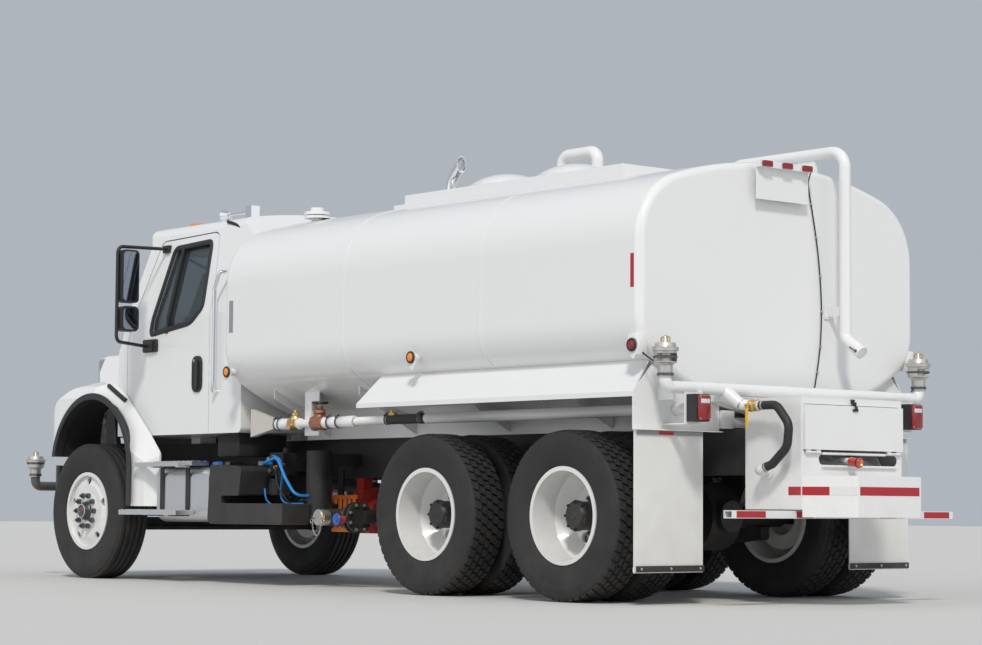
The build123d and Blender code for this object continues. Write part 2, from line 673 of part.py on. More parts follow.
def hood():
    shell = hood_solid - both_sides(lamp_zone(SEAT_GAP))
    shell -= cross_slab(grille_outline(0), HOOD_FRONT - 200, HOOD_FRONT + 50)
    for y in (-LUG_Y, LUG_Y):
        arm = side_slab(outline([(HOOD_PIVOT_X - LUG_R, HOOD_PIVOT_Z - LUG_R, 21),
                                 (HOOD_PIVOT_X + LUG_R, HOOD_PIVOT_Z - LUG_R, 21),
                                 (HOOD_PIVOT_X + LUG_R, HOOD_PIVOT_Z + 6, 10), (HOOD_FRONT - 8, 905),
                                 (HOOD_FRONT - 8, 955), (HOOD_FRONT - 60, 955), (HOOD_FRONT - 60, 900, 20)]),
                        abs(y) + 1, abs(y) + 1 + LUG_T)
        arm -= rod((HOOD_PIVOT_X, 0, HOOD_PIVOT_Z), (HOOD_PIVOT_X, 500, HOOD_PIVOT_Z),
                   PIVOT_PIN_R + BEARING_GAP)
        shell += arm if y > 0 else other_side(arm)
    return shell


def grille():
    band = nose_form(8) - nose_form(26)
    ring = band & cross_slab(grille_outline(SEAT_GAP) - grille_outline(42), 300, HOOD_FRONT + 50)
    bars = [box(300, 800, -480, 480, z, z + 34) for z in (1035, 1115, 1195, 1275, 1355, 1435)]
    posts = [box(300, 800, y - 9, y + 9, 960, 1560) for y in (-220, 0, 220)]
    for bar in bars + posts:
        ring += (band & cross_slab(grille_outline(20), 300, HOOD_FRONT + 50)) & bar
    return ring


def headlamps():
    lamp = hood_solid & lamp_zone(0)
    return group(lamp, other_side(lamp))


keep("hood", biggest(hood()))
keep("grille", grille())
keep("headlamps", headlamps())


# Front bumper with the spray pipe in front of it

def spray_pipe(x, half, z, top_z, elbow_r):
    return pipe([(x, -half, top_z), (x, -half, z), (x, half, z), (x, half, top_z)], elbow_r, PIPE_R)


def front_bumper():
    plan = outline([(BUMPER_BACK, -960), (BUMPER_BACK - 60, -1020), (BUMPER_BACK - 40, -1050, 20),
                    (BUMPER_FRONT, -960, 80), (BUMPER_FRONT, 960, 80), (BUMPER_BACK - 40, 1050, 20),
                    (BUMPER_BACK - 60, 1020), (BUMPER_BACK, 960)])
    beam = plan_slab(plan, BUMPER_LOW, BUMPER_TOP)
    beam -= box(BUMPER_BACK - 200, BUMPER_FRONT - 12, -940, 940, BUMPER_LOW + 12, BUMPER_TOP - 12)
    for y in (-FRAME_Y + 40, FRAME_Y - 40):
        beam += box(FRAME_FRONT, BUMPER_FRONT - 5, y - 36, y + 36, FRAME_BOTTOM + 20, BUMPER_TOP - 12)
    # Notches for the hood's lugs, and the pins on which they turn
    for y in (-LUG_Y - LUG_T / 2, LUG_Y + LUG_T / 2):
        beam -= box(BUMPER_BACK - 10, BUMPER_FRONT - 8, y - LUG_T, y + LUG_T, BUMPER_TOP - 20,
                    BUMPER_TOP + 10)
    beam += both_sides(rod((HOOD_PIVOT_X, LUG_Y - 6, HOOD_PIVOT_Z),
                           (HOOD_PIVOT_X, FRAME_Y - 74, HOOD_PIVOT_Z),
                           PIVOT_PIN_R))
    bar = spray_pipe(SPRAY_FRONT_X, SPRAY_FRONT_Y, SPRAY_FRONT_Z, FRONT_HEAD_Z, ELBOW_R)
    for y in (-620, 0, 620):
        beam += box(BUMPER_FRONT - 6, SPRAY_FRONT_X - PIPE_R + 3, y - 45, y + 45, SPRAY_FRONT_Z - 8,
                    SPRAY_FRONT_Z + 8)
    return beam + bar


# Columns: x, y, foot height, riser height, barrel height
HEADS = [(SPRAY_FRONT_X, SPRAY_FRONT_Y, FRONT_HEAD_Z, 70, 95), (SPRAY_REAR_X, SPRAY_REAR_Y, REAR_HEAD_Z, 80,
                                                                120)]


def spray_heads():
    heads = []
    for x, y, foot, riser, barrel in HEADS:
        z1 = foot + riser
        z2 = z1 + barrel
        half = Polygon((0, foot), (44, foot), (44, z1 - 12), (56, z1), (68, z1 + 6), (68, z2 - 50),
                       (HEAD_FLANGE_R, z2 - 48), (HEAD_FLANGE_R, z2 - 30), (66, z2 - 26), (60, z2),
                       (20, z2 + 4),
                       (12, z2 + 40), (0, z2 + 40), align=None)
        head = Pos(x, y, 0) * revolve(Plane(origin=(0, 0, 0), x_dir=(1, 0, 0), z_dir=(0, -1, 0)) * half,
                                      axis=Axis.Z)
        mouth = box(x, x + 200 * (1 if x > 0 else -1), y - 55, y + 120, z1 + 10, z2 - 62)
        head -= mouth - Pos(x, y, (z1 + z2) / 2) * Cylinder(34, 400)
        heads += [head, other_side(head)]
    return group(*heads)


keep("front_bumper", front_bumper())
keep("spray_heads", spray_heads())


# Water tank
def crown_z(y):
    return TANK_TOP - CROWN_R + sqrt(CROWN_R**2 - y**2)


def belly_z(y):
    return TANK_BOTTOM + BELLY_R - sqrt(BELLY_R**2 - y**2)


CORNER_Y = TANK_HALF - LOW_CORNER_R
CORNER_Z = TANK_BOTTOM + BELLY_R - sqrt((BELLY_R - LOW_CORNER_R)**2 - CORNER_Y**2)


def low_side_y(z):
    # The tank's side at a height, on the straight wall or on the lower corner.
    if z >= CORNER_Z:
        return TANK_HALF
    return CORNER_Y + sqrt(LOW_CORNER_R**2 - (z - CORNER_Z)**2)


def tank_section(grow=0.0):
    face = Pos(0, (TANK_TOP + TANK_BOTTOM) / 2) * Rectangle(2 * TANK_HALF, TANK_TOP - TANK_BOTTOM)
    face = face & (Pos(0, TANK_TOP - CROWN_R) * Circle(CROWN_R))
    face = face & (Pos(0, TANK_BOTTOM + BELLY_R) * Circle(BELLY_R))
    for side in (-1, 1):
        for z, r in ((crown_z(TANK_HALF), TOP_CORNER_R), (belly_z(TANK_HALF), LOW_CORNER_R)):
            corner = face.vertices().sort_by_distance((side * TANK_HALF, z, 0))[0]
            face = fillet(corner, r)
    return face


def water_tank():
    tank = cross_slab(tank_section(), TANK_REAR, TANK_FRONT)
    rims = tank.edges().filter_by(lambda e: abs(e.center().X - TANK_REAR) < 1 or abs(e.center().X - TANK_FRONT) < 1)
    return fillet(rims, HEAD_R)


tank_body = water_tank()


def under_tank(shape):
    # What carries the tank, or hangs from it, stops the seat gap short of its skin.
    return shape - Pos(0, 0, -SEAT_GAP) * tank_body


RAIL_Y = (400.0, 500.0)


def tank_subframe():
    top = belly_z(RAIL_Y[0]) - SEAT_GAP
    rail = box(TANK_REAR + 30, TANK_FRONT - 40, RAIL_Y[0], RAIL_Y[1], FRAME_TOP, top)
    frame = both_sides(rail)
    for x in (-2300, -3300, -4300, -5300, -6200):
        frame += box(x - 40, x + 40, -RAIL_Y[0] - 5, RAIL_Y[0] + 5, FRAME_TOP + 8, TANK_BOTTOM - SEAT_GAP)
        # Outriggers under the belly, welded to the rails
        y0, y1 = RAIL_Y[1] - 5, 1000
        wing = cross_slab(Polygon((y0, FRAME_TOP + 15), (y1, belly_z(y1) - 60), (y1, belly_z(y1) + 10),
                                  (y0, belly_z(y1) + 10), align=None), x - 5, x + 5)
        frame += both_sides(under_tank(wing))
    return frame


SHELF_FRONT = -3560.0
SHELF_REAR = -6240.0


def side_shelves():
    y_in = TANK_HALF - 130
    z_in = CORNER_Z - sqrt(LOW_CORNER_R**2 - (y_in - CORNER_Y)**2) - 1.0
    panel = Polygon((y_in, z_in), (TANK_HALF, 1252), (TANK_HALF, 1222), (TANK_HALF - 7, 1222),
                    (TANK_HALF - 7, 1244), (y_in - 5, z_in - 12), align=None)
    shelf = cross_slab(panel, SHELF_REAR + SEAT_GAP, SHELF_FRONT)
    cut = side_slab(Polygon((SHELF_FRONT + 10, 1500), (SHELF_FRONT - 150, 1500), (SHELF_FRONT + 10, 1230),
                            align=None),
                    900, 1300)
    shelf -= cut
    return group(shelf, other_side(shelf))


keep("water_tank", tank_body)
keep("tank_subframe", tank_subframe())


# Tank top: walkway, hatch rings, hatch lids, vents and valve
WALK_FRONT = -3070.0
WALK_REAR = -5320.0
WALK_HALF = 440.0
WALK_TOP = TANK_TOP + 62.0
WALK_WALL = 34.0
HATCH_X = [-3680.0, -4390.0]
HATCH_R = 268.0
HATCH_RING_H = 90.0
HATCH_RING_TOP = TANK_TOP + HATCH_RING_H
LID_DOME = 99.0
LID_HINGE_OUT = 26.0
VENT_X = -4220.0
VENT_Y = -350.0
VENT_FOOT_R = 53.0
RELIEF_X = -2240.0
RELIEF_Y = 600.0


def on_crown(shape):
    # What stands on the tank is cut to the crown with the seat gap.
    return shape - crown_tool


crown_tool = cross_slab(Pos(0, TANK_TOP - CROWN_R) * Circle(CROWN_R + SEAT_GAP), TANK_REAR, TANK_FRONT)


def tank_walkway():
    low = crown_z(WALK_HALF) - 10
    outer = box(WALK_REAR, WALK_FRONT, -WALK_HALF, WALK_HALF, low, WALK_TOP)
    inner = box(WALK_REAR + WALK_WALL, WALK_FRONT - WALK_WALL, -WALK_HALF + WALK_WALL, WALK_HALF - WALK_WALL,
                low - 10, WALK_TOP + 10)
    step = outline([(WALK_REAR - 60, -WALK_HALF - 50), (WALK_REAR - 60, WALK_HALF + 50),
                    (WALK_FRONT + 60, WALK_HALF + 50), (WALK_FRONT + 60, -WALK_HALF - 50)])
    base = plan_slab(step, low - 20, crown_z(WALK_HALF) + 22) - inner
    frame = on_crown(outer - inner + base)
    rings = []
    for x in HATCH_X:
        ring = rod((x, 0, TANK_TOP - 60), (x, 0, HATCH_RING_TOP), HATCH_R) - rod(
            (x, 0, TANK_TOP - 80), (x, 0, HATCH_RING_TOP + 10), HATCH_R - 14)
        lug_x = x + HATCH_R + LID_HINGE_OUT
        for y in (-120, 120):
            lug = side_slab(outline([(x + HATCH_R - 40, TANK_TOP), (lug_x + 14, HATCH_RING_TOP - 4),
                                     (lug_x + 14, HATCH_RING_TOP + 26, 12),
                                     (lug_x - 10, HATCH_RING_TOP + 26, 8),
                                     (lug_x - 10, HATCH_RING_TOP - 2),
                                     (x + HATCH_R - 40, HATCH_RING_TOP - 8)]),
                            y - 6, y + 6)
            lug -= rod((x, 0, TANK_TOP - 80), (x, 0, HATCH_RING_TOP + 90), HATCH_R - 14)
            ring += lug
        ring += rod((lug_x, -126, HATCH_RING_TOP + 12), (lug_x, 126, HATCH_RING_TOP + 12), 7)
        rings.append(on_crown(ring))
    return group(frame, *rings)


def hatch_lid(x):
    low = HATCH_RING_TOP + 1
    r = HATCH_R + 10
    dome = ThreePointArc((0, low + LID_DOME), (r * 0.55, low + LID_DOME * 0.78), (r, low + 14))
    under = Polyline((r, low + 14), (r, low), (0, low), (0, low + LID_DOME))
    lid = Pos(x, 0, 0) * revolve(Plane(origin=(0, 0, 0), x_dir=(1, 0, 0),
                                       z_dir=(0, -1, 0)) * make_face([dome, under]),
                                 axis=Axis.Z)
    lug_x = x + HATCH_R + LID_HINGE_OUT
    pin_z = HATCH_RING_TOP + 12
    for y in (-95, 95):
        ear = side_slab(outline([(x + HATCH_R - 10, low), (x + HATCH_R - 10, low + 26),
                                 (lug_x + 12, pin_z + 12, 11),
                                 (lug_x + 12, pin_z - 12, 11)]), y - 10, y + 10)
        lid += ear
    lid -= rod((lug_x, -150, pin_z), (lug_x, 150, pin_z), 7 + BEARING_GAP)
    return lid


def open_end(tube, start, end):
    # Bores a solid tube from its open end, so that it shows a wall there.
    return tube - rod(start, end, PIPE_R - PIPE_WALL)


def tank_fittings():
    # Vent: up, forwards and down, with its mouth low over the front of the lids
    top, mouth_x = TANK_TOP + 335, VENT_X + 363
    vent = pipe([(VENT_X, VENT_Y, TANK_TOP - 40), (VENT_X, VENT_Y, top), (mouth_x, VENT_Y, top),
                 (mouth_x, VENT_Y, top - 75)], 70, PIPE_R + 6)
    vent = open_end(vent, (mouth_x, VENT_Y, top - 80), (mouth_x, VENT_Y, top - 68))
    vent += rod((VENT_X, VENT_Y, TANK_TOP - 40), (VENT_X, VENT_Y, TANK_TOP + 12), VENT_FOOT_R)
    x, y = RELIEF_X, RELIEF_Y
    valve = rod((x, y, TANK_TOP - 100), (x, y, TANK_TOP - 20), 42)
    for z0, z1, r in ((-45, -28, 95), (-30, -16, 60), (-20, 2, 95), (0, 33, 50)):
        valve += rod((x, y, TANK_TOP + z0), (x, y, TANK_TOP + z1), r)
    return group(on_crown(vent), on_crown(valve))


keep("tank_walkway", tank_walkway())
keep("hatch_lid_front", hatch_lid(HATCH_X[0]))
keep("hatch_lid_rear", hatch_lid(HATCH_X[1]))

# Overflow pipe down the rear head, and the blank sign plate beside it
OVERFLOW_Y = -400.0
OVERFLOW_X = -6450.0
OVERFLOW_Z = TANK_TOP + 105.0
OVERFLOW_MOUTH = (OVERFLOW_X - 130.0, 1535.0)


def overflow_pipe():
    x0, x, y = WALK_REAR - 150, OVERFLOW_X, OVERFLOW_Y
    mouth = (OVERFLOW_MOUTH[0], y, OVERFLOW_MOUTH[1])
    run = pipe([(x0, y, TANK_TOP - 60), (x0, y, OVERFLOW_Z), (x, y, OVERFLOW_Z), (x, y, mouth[2] + 95),
                mouth],
               [90, 110, 60], PIPE_R)
    run = open_end(run, mouth, (mouth[0] + 20, y, mouth[2] + 20 * 95 / 130))
    stay = box(x + PIPE_R - 3, TANK_REAR - SEAT_GAP, y - 5, y + 5, 1770, 1830)
    stay += box(TANK_REAR - 8, TANK_REAR - SEAT_GAP, y - 55, y + 35, 1755, 1845)
    saddle = box(TANK_REAR + 90, TANK_REAR + 240, y - 12, y + 12, TANK_TOP - 100, OVERFLOW_Z - PIPE_R + 3)
    return on_crown(run + stay + saddle)


def sign_plate():
    # A blank plate on two stand-offs, with a lamp bar over it
    x, low, top = TANK_REAR - 45, TANK_TOP - 245, TANK_TOP - 45
    plate = box(x - 4, x, -175, 290, low, top)
    for y in (75, -45):
        plate += box(x - 4, TANK_REAR - SEAT_GAP, y - 15, y + 15, low + 25, top - 55)
    bar = box(x - 40, x, -175, 290, top - 5, top + 35)
    for y in (-120, 57, 235):
        bar += rod((x - 52, y, top + 15), (x - 38, y, top + 15), 18)
    return plate + bar


keep("tank_fittings", group(tank_fittings(), overflow_pipe(), sign_plate()))

# Rear panels, flaps, hose cabinet, bumper and underride bar
PANEL_X = SHELF_REAR
PANEL_T = 6.0
PANEL_LOW = 1032.0
PANEL_IN = RAIL_Y[1] + 6.0
FLAP_IN = 650.0
FLAP_LOW = 190.0
SUPPLY_Y = 870.0
SUPPLY_Z = 1157.0
SUPPLY_FRONT = -3880.0
CABINET_FRONT = FRAME_REAR
CABINET_REAR = -6870.0
CABINET_LEFT = 460.0
CABINET_RIGHT = -430.0
CABINET_LOW = 566.0
CABINET_TOP = 1228.0
CABINET_WALL = 5.0
TAIL_X = -6464.0
TAIL_Y = 945.0
CAB_DOOR_LOW = 906.0
CAB_DOOR_TOP = 1186.0
CAB_DOOR_T = 24.0
SLOT_Z = (830.0, 893.0)
SLOT_Y = (-388.0, 307.0)
BUMPER_LOW_R = 522.0
BUMPER_TOP_R = 764.0
UNDERRIDE_Z = (514.0, 560.0)
UNDERRIDE_HALF = 975.0


def rear_panels():
    # A plate across the end of the shelf, cut to the belly, with a folded lower edge
    y0, y1 = PANEL_IN, TANK_HALF
    face = outline([(y0, PANEL_LOW), (y1, PANEL_LOW), (y1, 1254), (y1 - 170, 1430), (y0, 1430)])
    panel = under_tank(cross_slab(face, PANEL_X - PANEL_T, PANEL_X))
    panel += box(PANEL_X - 40, PANEL_X, y0, y1, PANEL_LOW - PANEL_T, PANEL_LOW)
    panel -= rod((PANEL_X - 60, SUPPLY_Y, SUPPLY_Z), (PANEL_X + 10, SUPPLY_Y, SUPPLY_Z), PIPE_R + SEAT_GAP)
    # Brackets out to the spray bar and the lamp
    for y in (640, 1020):
        arm = box(SPRAY_REAR_X + PIPE_R - 2, PANEL_X - 2, y - 4, y + 4, SPRAY_REAR_Z - 70, SPRAY_REAR_Z + 30)
        panel += under_tank(arm)
    panel -= rod((SPRAY_REAR_X, 0, SPRAY_REAR_Z), (SPRAY_REAR_X, 1200, SPRAY_REAR_Z), PIPE_R + SEAT_GAP)
    panel += box(TAIL_X, PANEL_X - 2, TAIL_Y - 30, TAIL_Y + 30, 1060, 1068)
    panel += box(TAIL_X - 4, TAIL_X + 4, TAIL_Y - 65, TAIL_Y + 65, 1060, 1250)
    return group(panel, other_side(panel))


def mud_flaps():
    flap = box(PANEL_X - 12, PANEL_X - 6, FLAP_IN, TANK_HALF - 6, FLAP_LOW, PANEL_LOW - PANEL_T - SEAT_GAP)
    flap += box(PANEL_X - 18, PANEL_X - 2, FLAP_IN, TANK_HALF - 6, FLAP_LOW + 6, FLAP_LOW + 34)
    return group(flap, other_side(flap))


def hose_cabinet():
    # Sheet panels set edge to edge: floor, roof, two sides, a front and a rear frame round the door
    x0, x1 = CABINET_REAR, CABINET_FRONT - SEAT_GAP
    y0, y1 = CABINET_RIGHT, CABINET_LEFT
    t = CABINET_WALL
    low, top = CABINET_LOW + t + SEAT_GAP, CABINET_TOP - t - SEAT_GAP
    left, right = y1 - t - SEAT_GAP, y0 + t + SEAT_GAP
    panels = [box(x0, x1, y0, y1, CABINET_LOW, CABINET_LOW + t),
              box(x0, x1, y0, y1, CABINET_TOP - t, CABINET_TOP),
              box(x0, x1, y1 - t, y1, low, top), box(x0, x1, y0, y0 + t, low, top),
              box(x1 - t, x1, right, left, low, top)]
    head = CAB_DOOR_TOP + SEAT_GAP
    panels += [box(x0, x0 + t, right, left, head, top), box(x0, x0 + t, left - 24, left, low, CAB_DOOR_TOP),
               box(x0, x0 + t, right, right + 24, low, CAB_DOOR_TOP)]
    apron = box(x0, x0 + t, right + 24 + SEAT_GAP, left - 24 - SEAT_GAP, low, CAB_DOOR_LOW)
    slot = outline([(SLOT_Y[0], SLOT_Z[0], 31), (SLOT_Y[1], SLOT_Z[0], 31), (SLOT_Y[1], SLOT_Z[1], 31),
                    (SLOT_Y[0], SLOT_Z[1], 31)])
    apron -= cross_slab(slot, x0 - 10, x0 + t + 1)
    for y in (y0 + 90, y1 - 90):
        apron += rod((x0 - 14, y - 24, CAB_DOOR_LOW - 2), (x0 - 14, y + 24, CAB_DOOR_LOW - 2), 7)
        apron += box(x0 - 14, x0 + 1, y - 24, y + 24, CAB_DOOR_LOW - 9, CAB_DOOR_LOW - 4)
    reel = rod((-6640, y0 + 120, 760), (-6640, y1 - 120, 760), 130)
    for y in (y0 + 112, y1 - 120):
        reel += rod((-6640, y, 760), (-6640, y + 8, 760), 180)
    reel += rod((-6640, y0 + t + SEAT_GAP, 760), (-6640, y1 - t - SEAT_GAP, 760), 16)
    nozzle = rod((x0 + 40, 60, 862), (x0 - 40, 60, 852), 19) + rod((x0 - 38, 60, 852), (x0 - 85, 60, 846),
                                                                   27, 22)
    hose = pipe([(x0 + 42, 60, 862), (-6760, 60, 862), (-6680, 60, 895)], [60], 16)
    # Rollers: the upper one stops short of the door's left-hand hinge.
    roll_x = x0 - 8 - SEAT_GAP
    lower_roll = rod((roll_x, SLOT_Y[0] + 20, SLOT_Z[0] - 8), (roll_x, SLOT_Y[1] - 20, SLOT_Z[0] - 8), 8)
    upper_roll = rod((roll_x, -268, SLOT_Z[1] + 3), (roll_x, SLOT_Y[1] - 20, SLOT_Z[1] + 3), 8)
    return group(*panels, apron, reel, nozzle + hose, lower_roll, upper_roll)


def cabinet_door():
    x0 = CABINET_REAR
    y0, y1 = CABINET_RIGHT + 12, CABINET_LEFT - 12
    door = box(x0 - CAB_DOOR_T, x0 - 1, y0, y1, CAB_DOOR_LOW + 12, CAB_DOOR_TOP - 4)
    door -= box(x0 - CAB_DOOR_T + 5, x0, y0 + 8, y1 - 8, CAB_DOOR_LOW + 20, CAB_DOOR_TOP - 12)
    axis = (x0 - 14, CAB_DOOR_LOW - 2)
    for y in (CABINET_RIGHT + 90, CABINET_LEFT - 90):
        for s in (-1, 1):
            a, b = y + s * (24 + SEAT_GAP), y + s * 60
            door += rod((axis[0], a, axis[1]), (axis[0], b, axis[1]), 8)
            door += box(axis[0] - 5, axis[0] + 5, min(a, b), max(a, b), axis[1], CAB_DOOR_LOW + 16)
    return door


def rear_bumper():
    x0, x1 = BUMPER_REAR_X, CABINET_REAR - SEAT_GAP
    plan = outline([(x1, -430), (x1, 450), (x0, 288, 30), (x0, -288, 30)])
    bumper = plan_slab(plan, BUMPER_LOW_R, BUMPER_TOP_R)
    core = outline([(x1 + 10, -420), (x1 + 10, 440), (x0 + 8, 284, 24), (x0 + 8, -284, 24)])
    bumper -= plan_slab(core, BUMPER_LOW_R - 10, BUMPER_TOP_R - 6)
    return bumper


def underride_bar():
    x0, x1 = -6815.0, -6745.0
    half = UNDERRIDE_HALF
    bar = box(x0, x1, -half, half, *UNDERRIDE_Z)
    bar -= box(x0 + 6, x1 - 6, -half - 10, half + 10, UNDERRIDE_Z[0] + 6, UNDERRIDE_Z[1] - 6)
    for y in (-300, 300):
        bar += box(x0, x1, y - 40, y + 40, UNDERRIDE_Z[1] - 3, CABINET_LOW - SEAT_GAP)
    return bar


keep("tank_panels", group(side_shelves(), rear_panels()))
keep("mud_flaps", mud_flaps())
keep("hose_cabinet", hose_cabinet())
keep("cabinet_door", cabinet_door())
keep("rear_bumper", group(rear_bumper(), underride_bar()))


# Rear spray bar with its supply pipe and the tee for the hose
HOSE_Y = 555.0
HOSE_Z = 1178.0
HOSE_END_X = -6672.0
HOSE_END_Z = 812.0


def rear_spray_bar():
    bar = spray_pipe(SPRAY_REAR_X, SPRAY_REAR_Y, SPRAY_REAR_Z, REAR_HEAD_Z, ELBOW_R)
    feed = pipe([(SUPPLY_FRONT, SUPPLY_Y, SUPPLY_Z), (SPRAY_REAR_X, SUPPLY_Y, SUPPLY_Z),
                 (SPRAY_REAR_X, SUPPLY_Y, SPRAY_REAR_Z - 10)], ELBOW_R, PIPE_R - 1)
    tee = rod((SPRAY_REAR_X, 640, SPRAY_REAR_Z - 10), (SPRAY_REAR_X - 95, 600, HOSE_Z + 8), 44, 36)
    valve = rod((SPRAY_REAR_X - 88, 603, HOSE_Z + 9), (SPRAY_REAR_X - 130, HOSE_Y, HOSE_Z), 32)
    valve += rod((SPRAY_REAR_X - 115, HOSE_Y, HOSE_Z), (SPRAY_REAR_X - 215, HOSE_Y, HOSE_Z), 30)
    # The branch to the hose is a piece of its own, set against the bar.
    bar_way = rod((SPRAY_REAR_X, 0, SPRAY_REAR_Z), (SPRAY_REAR_X, 1000, SPRAY_REAR_Z), PIPE_R + SEAT_GAP)
    return group(bar + feed, tee + valve - bar_way)


def feed_hose():
    start = SPRAY_REAR_X - 215 - SEAT_GAP
    path = [(start, HOSE_Y, HOSE_Z), (start - 130, HOSE_Y, HOSE_Z), (-6865, HOSE_Y, HOSE_Z - 115),
            (-6850, HOSE_Y, 930), (-6730, HOSE_Y, 830), (HOSE_END_X, HOSE_Y, HOSE_END_Z)]
    return pipe(path, [75, 90, 90, 40], 26)


def hose_inlet():
    # It starts in line with the hose's last run.
    slope = (830 - HOSE_END_Z) / (HOSE_END_X + 6730)
    x, z = HOSE_END_X + SEAT_GAP, HOSE_END_Z - SEAT_GAP * slope
    turn_x = HOSE_END_X + 62
    drop = z - slope * (turn_x - x)
    elbow = pipe([(x, HOSE_Y, z), (turn_x, HOSE_Y, drop), (turn_x, CABINET_LEFT + SEAT_GAP, drop)], 40, 31)
    elbow += rod((turn_x, CABINET_LEFT + 14, drop), (turn_x, CABINET_LEFT + SEAT_GAP, drop), 48)
    return elbow


keep("rear_spray_bar", group(rear_spray_bar(), hose_inlet()))
keep("feed_hose", feed_hose())


# Left and right under the cab: fuel tank, moulded box, steps and the air valves
FUEL_FRONT = -908.0
FUEL_REAR = -1604.0
FUEL_Y = (500.0, 1085.0)
FUEL_Z = (447.0, 850.0)
BOX_REAR = -2554.0


def side_bracket(x, y1, z0, z1, thick=8.0):
    # A hanger plate from the frame rail out to what it carries.
    return box(x - thick / 2, x + thick / 2, FRAME_Y + SEAT_GAP, y1, z0, z1)


def fuel_tank():
    face = outline([(FUEL_Y[0], FUEL_Z[0], 90), (FUEL_Y[1], FUEL_Z[0], 90), (FUEL_Y[1], FUEL_Z[1], 90),
                    (FUEL_Y[0], FUEL_Z[1], 90)])
    tank = cross_slab(face, FUEL_REAR, FUEL_FRONT)
    for x in (FUEL_FRONT - 130, FUEL_REAR + 130):
        tank += side_bracket(x, FUEL_Y[0] + 40, FUEL_Z[0] + 120, FRAME_TOP - 150, 60)
    tank += rod((FUEL_REAR + 60, 960, FUEL_Z[1] - 5), (FUEL_REAR + 60, 960, FUEL_Z[1] + 28), 38)
    return tank


def battery_box():
    face = outline([(FUEL_REAR - 6, 435, 50), (BOX_REAR, 435, 40), (BOX_REAR, 585, 15), (-1790, 585, 15),
                    (-1790, 640, 15), (-2010, 640, 15), (-2045, 850, 40), (-1640, 866, 30)])
    body = side_slab(face, FRAME_Y + 70, 1100)
    body += box(-1900, -1720, FRAME_Y + SEAT_GAP, FRAME_Y + 75, FRAME_BOTTOM + 5, 850)
    body += box(-2380, -2320, FRAME_Y + SEAT_GAP, FRAME_Y + 110, 500, 570)
    body += box(-2380, -2320, FRAME_Y + SEAT_GAP, FRAME_Y + 14, 500, FRAME_BOTTOM + 60)
    # Behind the low tray's rear end stands the suction filter.
    return body - box(BOX_REAR - 10, -2405, 0, 870, 400, 600)


def cab_steps():
    steps = box(-1415, -625, FUEL_Y[1] + SEAT_GAP, 1245, 496, 532)
    steps += box(-1355, -720, 1130, 1190, 855, 885) + box(-1450, -925, 985, 1135, 862, 892)
    for x in (-985, -1330):
        steps += box(x - 24, x + 24, FUEL_Y[1] + SEAT_GAP, FUEL_Y[1] + 8, 500, 880)
        steps += box(x - 24, x + 24, FUEL_Y[1] + SEAT_GAP, 1240, 488, 500)
        steps += box(x - 24, x + 24, FUEL_Y[1] + SEAT_GAP, 1185, 846, 858)
    return group(steps, other_side(steps))


def air_valves():
    x, y = -2135.0, 800.0
    body = box(x - 85, x + 85, y - 60, y + 60, 790, 950) + rod((x, y, 640), (x, y, 792), 46)
    body += rod((x - 60, y + 20, 945), (x - 60, y + 20, 985), 22) + rod((x + 20, y + 55, 870),
                                                                        (x + 20, y + 92, 870), 28)
    body += box(x - 60, x + 60, FRAME_Y + SEAT_GAP, y - 55, 820, 900)
    return body


def air_line():
    # One air hose, from the valve's port round to the side of the suction filter.
    port = (-2115, 892 + SEAT_GAP, 870)
    route = [port, (-2115, 965, 870), (-2290, 965, 915), (-2400, 965, 760), (-2520, 965, 640),
             (-2520, 852 + SEAT_GAP, 640)]
    return pipe(route, [30, 60, 80, 60], 11)


STACK_X = -1655.0
STACK_Y = 1135.0
STACK_R = 47.0
STACK_TIP_X = STACK_X - 120.0
STACK_BEND_Z = 3145.0
STACK_MOUTH_Z = STACK_BEND_Z + 120
CASE_REAR = -1560.0
GUARD_Z = (1180.0, 2250.0)


def exhaust():
    face = outline([(-FUEL_Y[1], 480, 60), (-FUEL_Y[0], 480, 60), (-FUEL_Y[0], FUEL_Z[1], 60),
                    (-FUEL_Y[1], FUEL_Z[1], 60)])
    case = cross_slab(face, CASE_REAR, FUEL_FRONT)
    for x in (FUEL_FRONT - 130, CASE_REAR + 90):
        case += other_side(side_bracket(x, FUEL_Y[0] + 40, 600, FRAME_TOP - 150, 60))
    x, y = STACK_X, -STACK_Y
    stack = pipe([(CASE_REAR + 10, -850, 700), (x, -850, 700), (x, y, 700), (x, y, STACK_BEND_Z),
                  (x - 230, y, STACK_BEND_Z + 230)],
                 [75, 75, 170], STACK_R)
    stack -= box(STACK_TIP_X - 400, STACK_TIP_X, y - 200, y + 200, 3000, 3600)
    stack -= rod((STACK_TIP_X - 60, y, STACK_MOUTH_Z + 60), (STACK_TIP_X + 25, y, STACK_MOUTH_Z - 25),
                 STACK_R - 4)
    guard = rod((x, y, GUARD_Z[0]), (x, y, GUARD_Z[1]), STACK_R + 22)
    stay = other_side(box(x - 25, x + 25, CAB_Y + SEAT_GAP, STACK_Y - STACK_R - 10, 1250, 1290))
    return case + stack + guard + stay


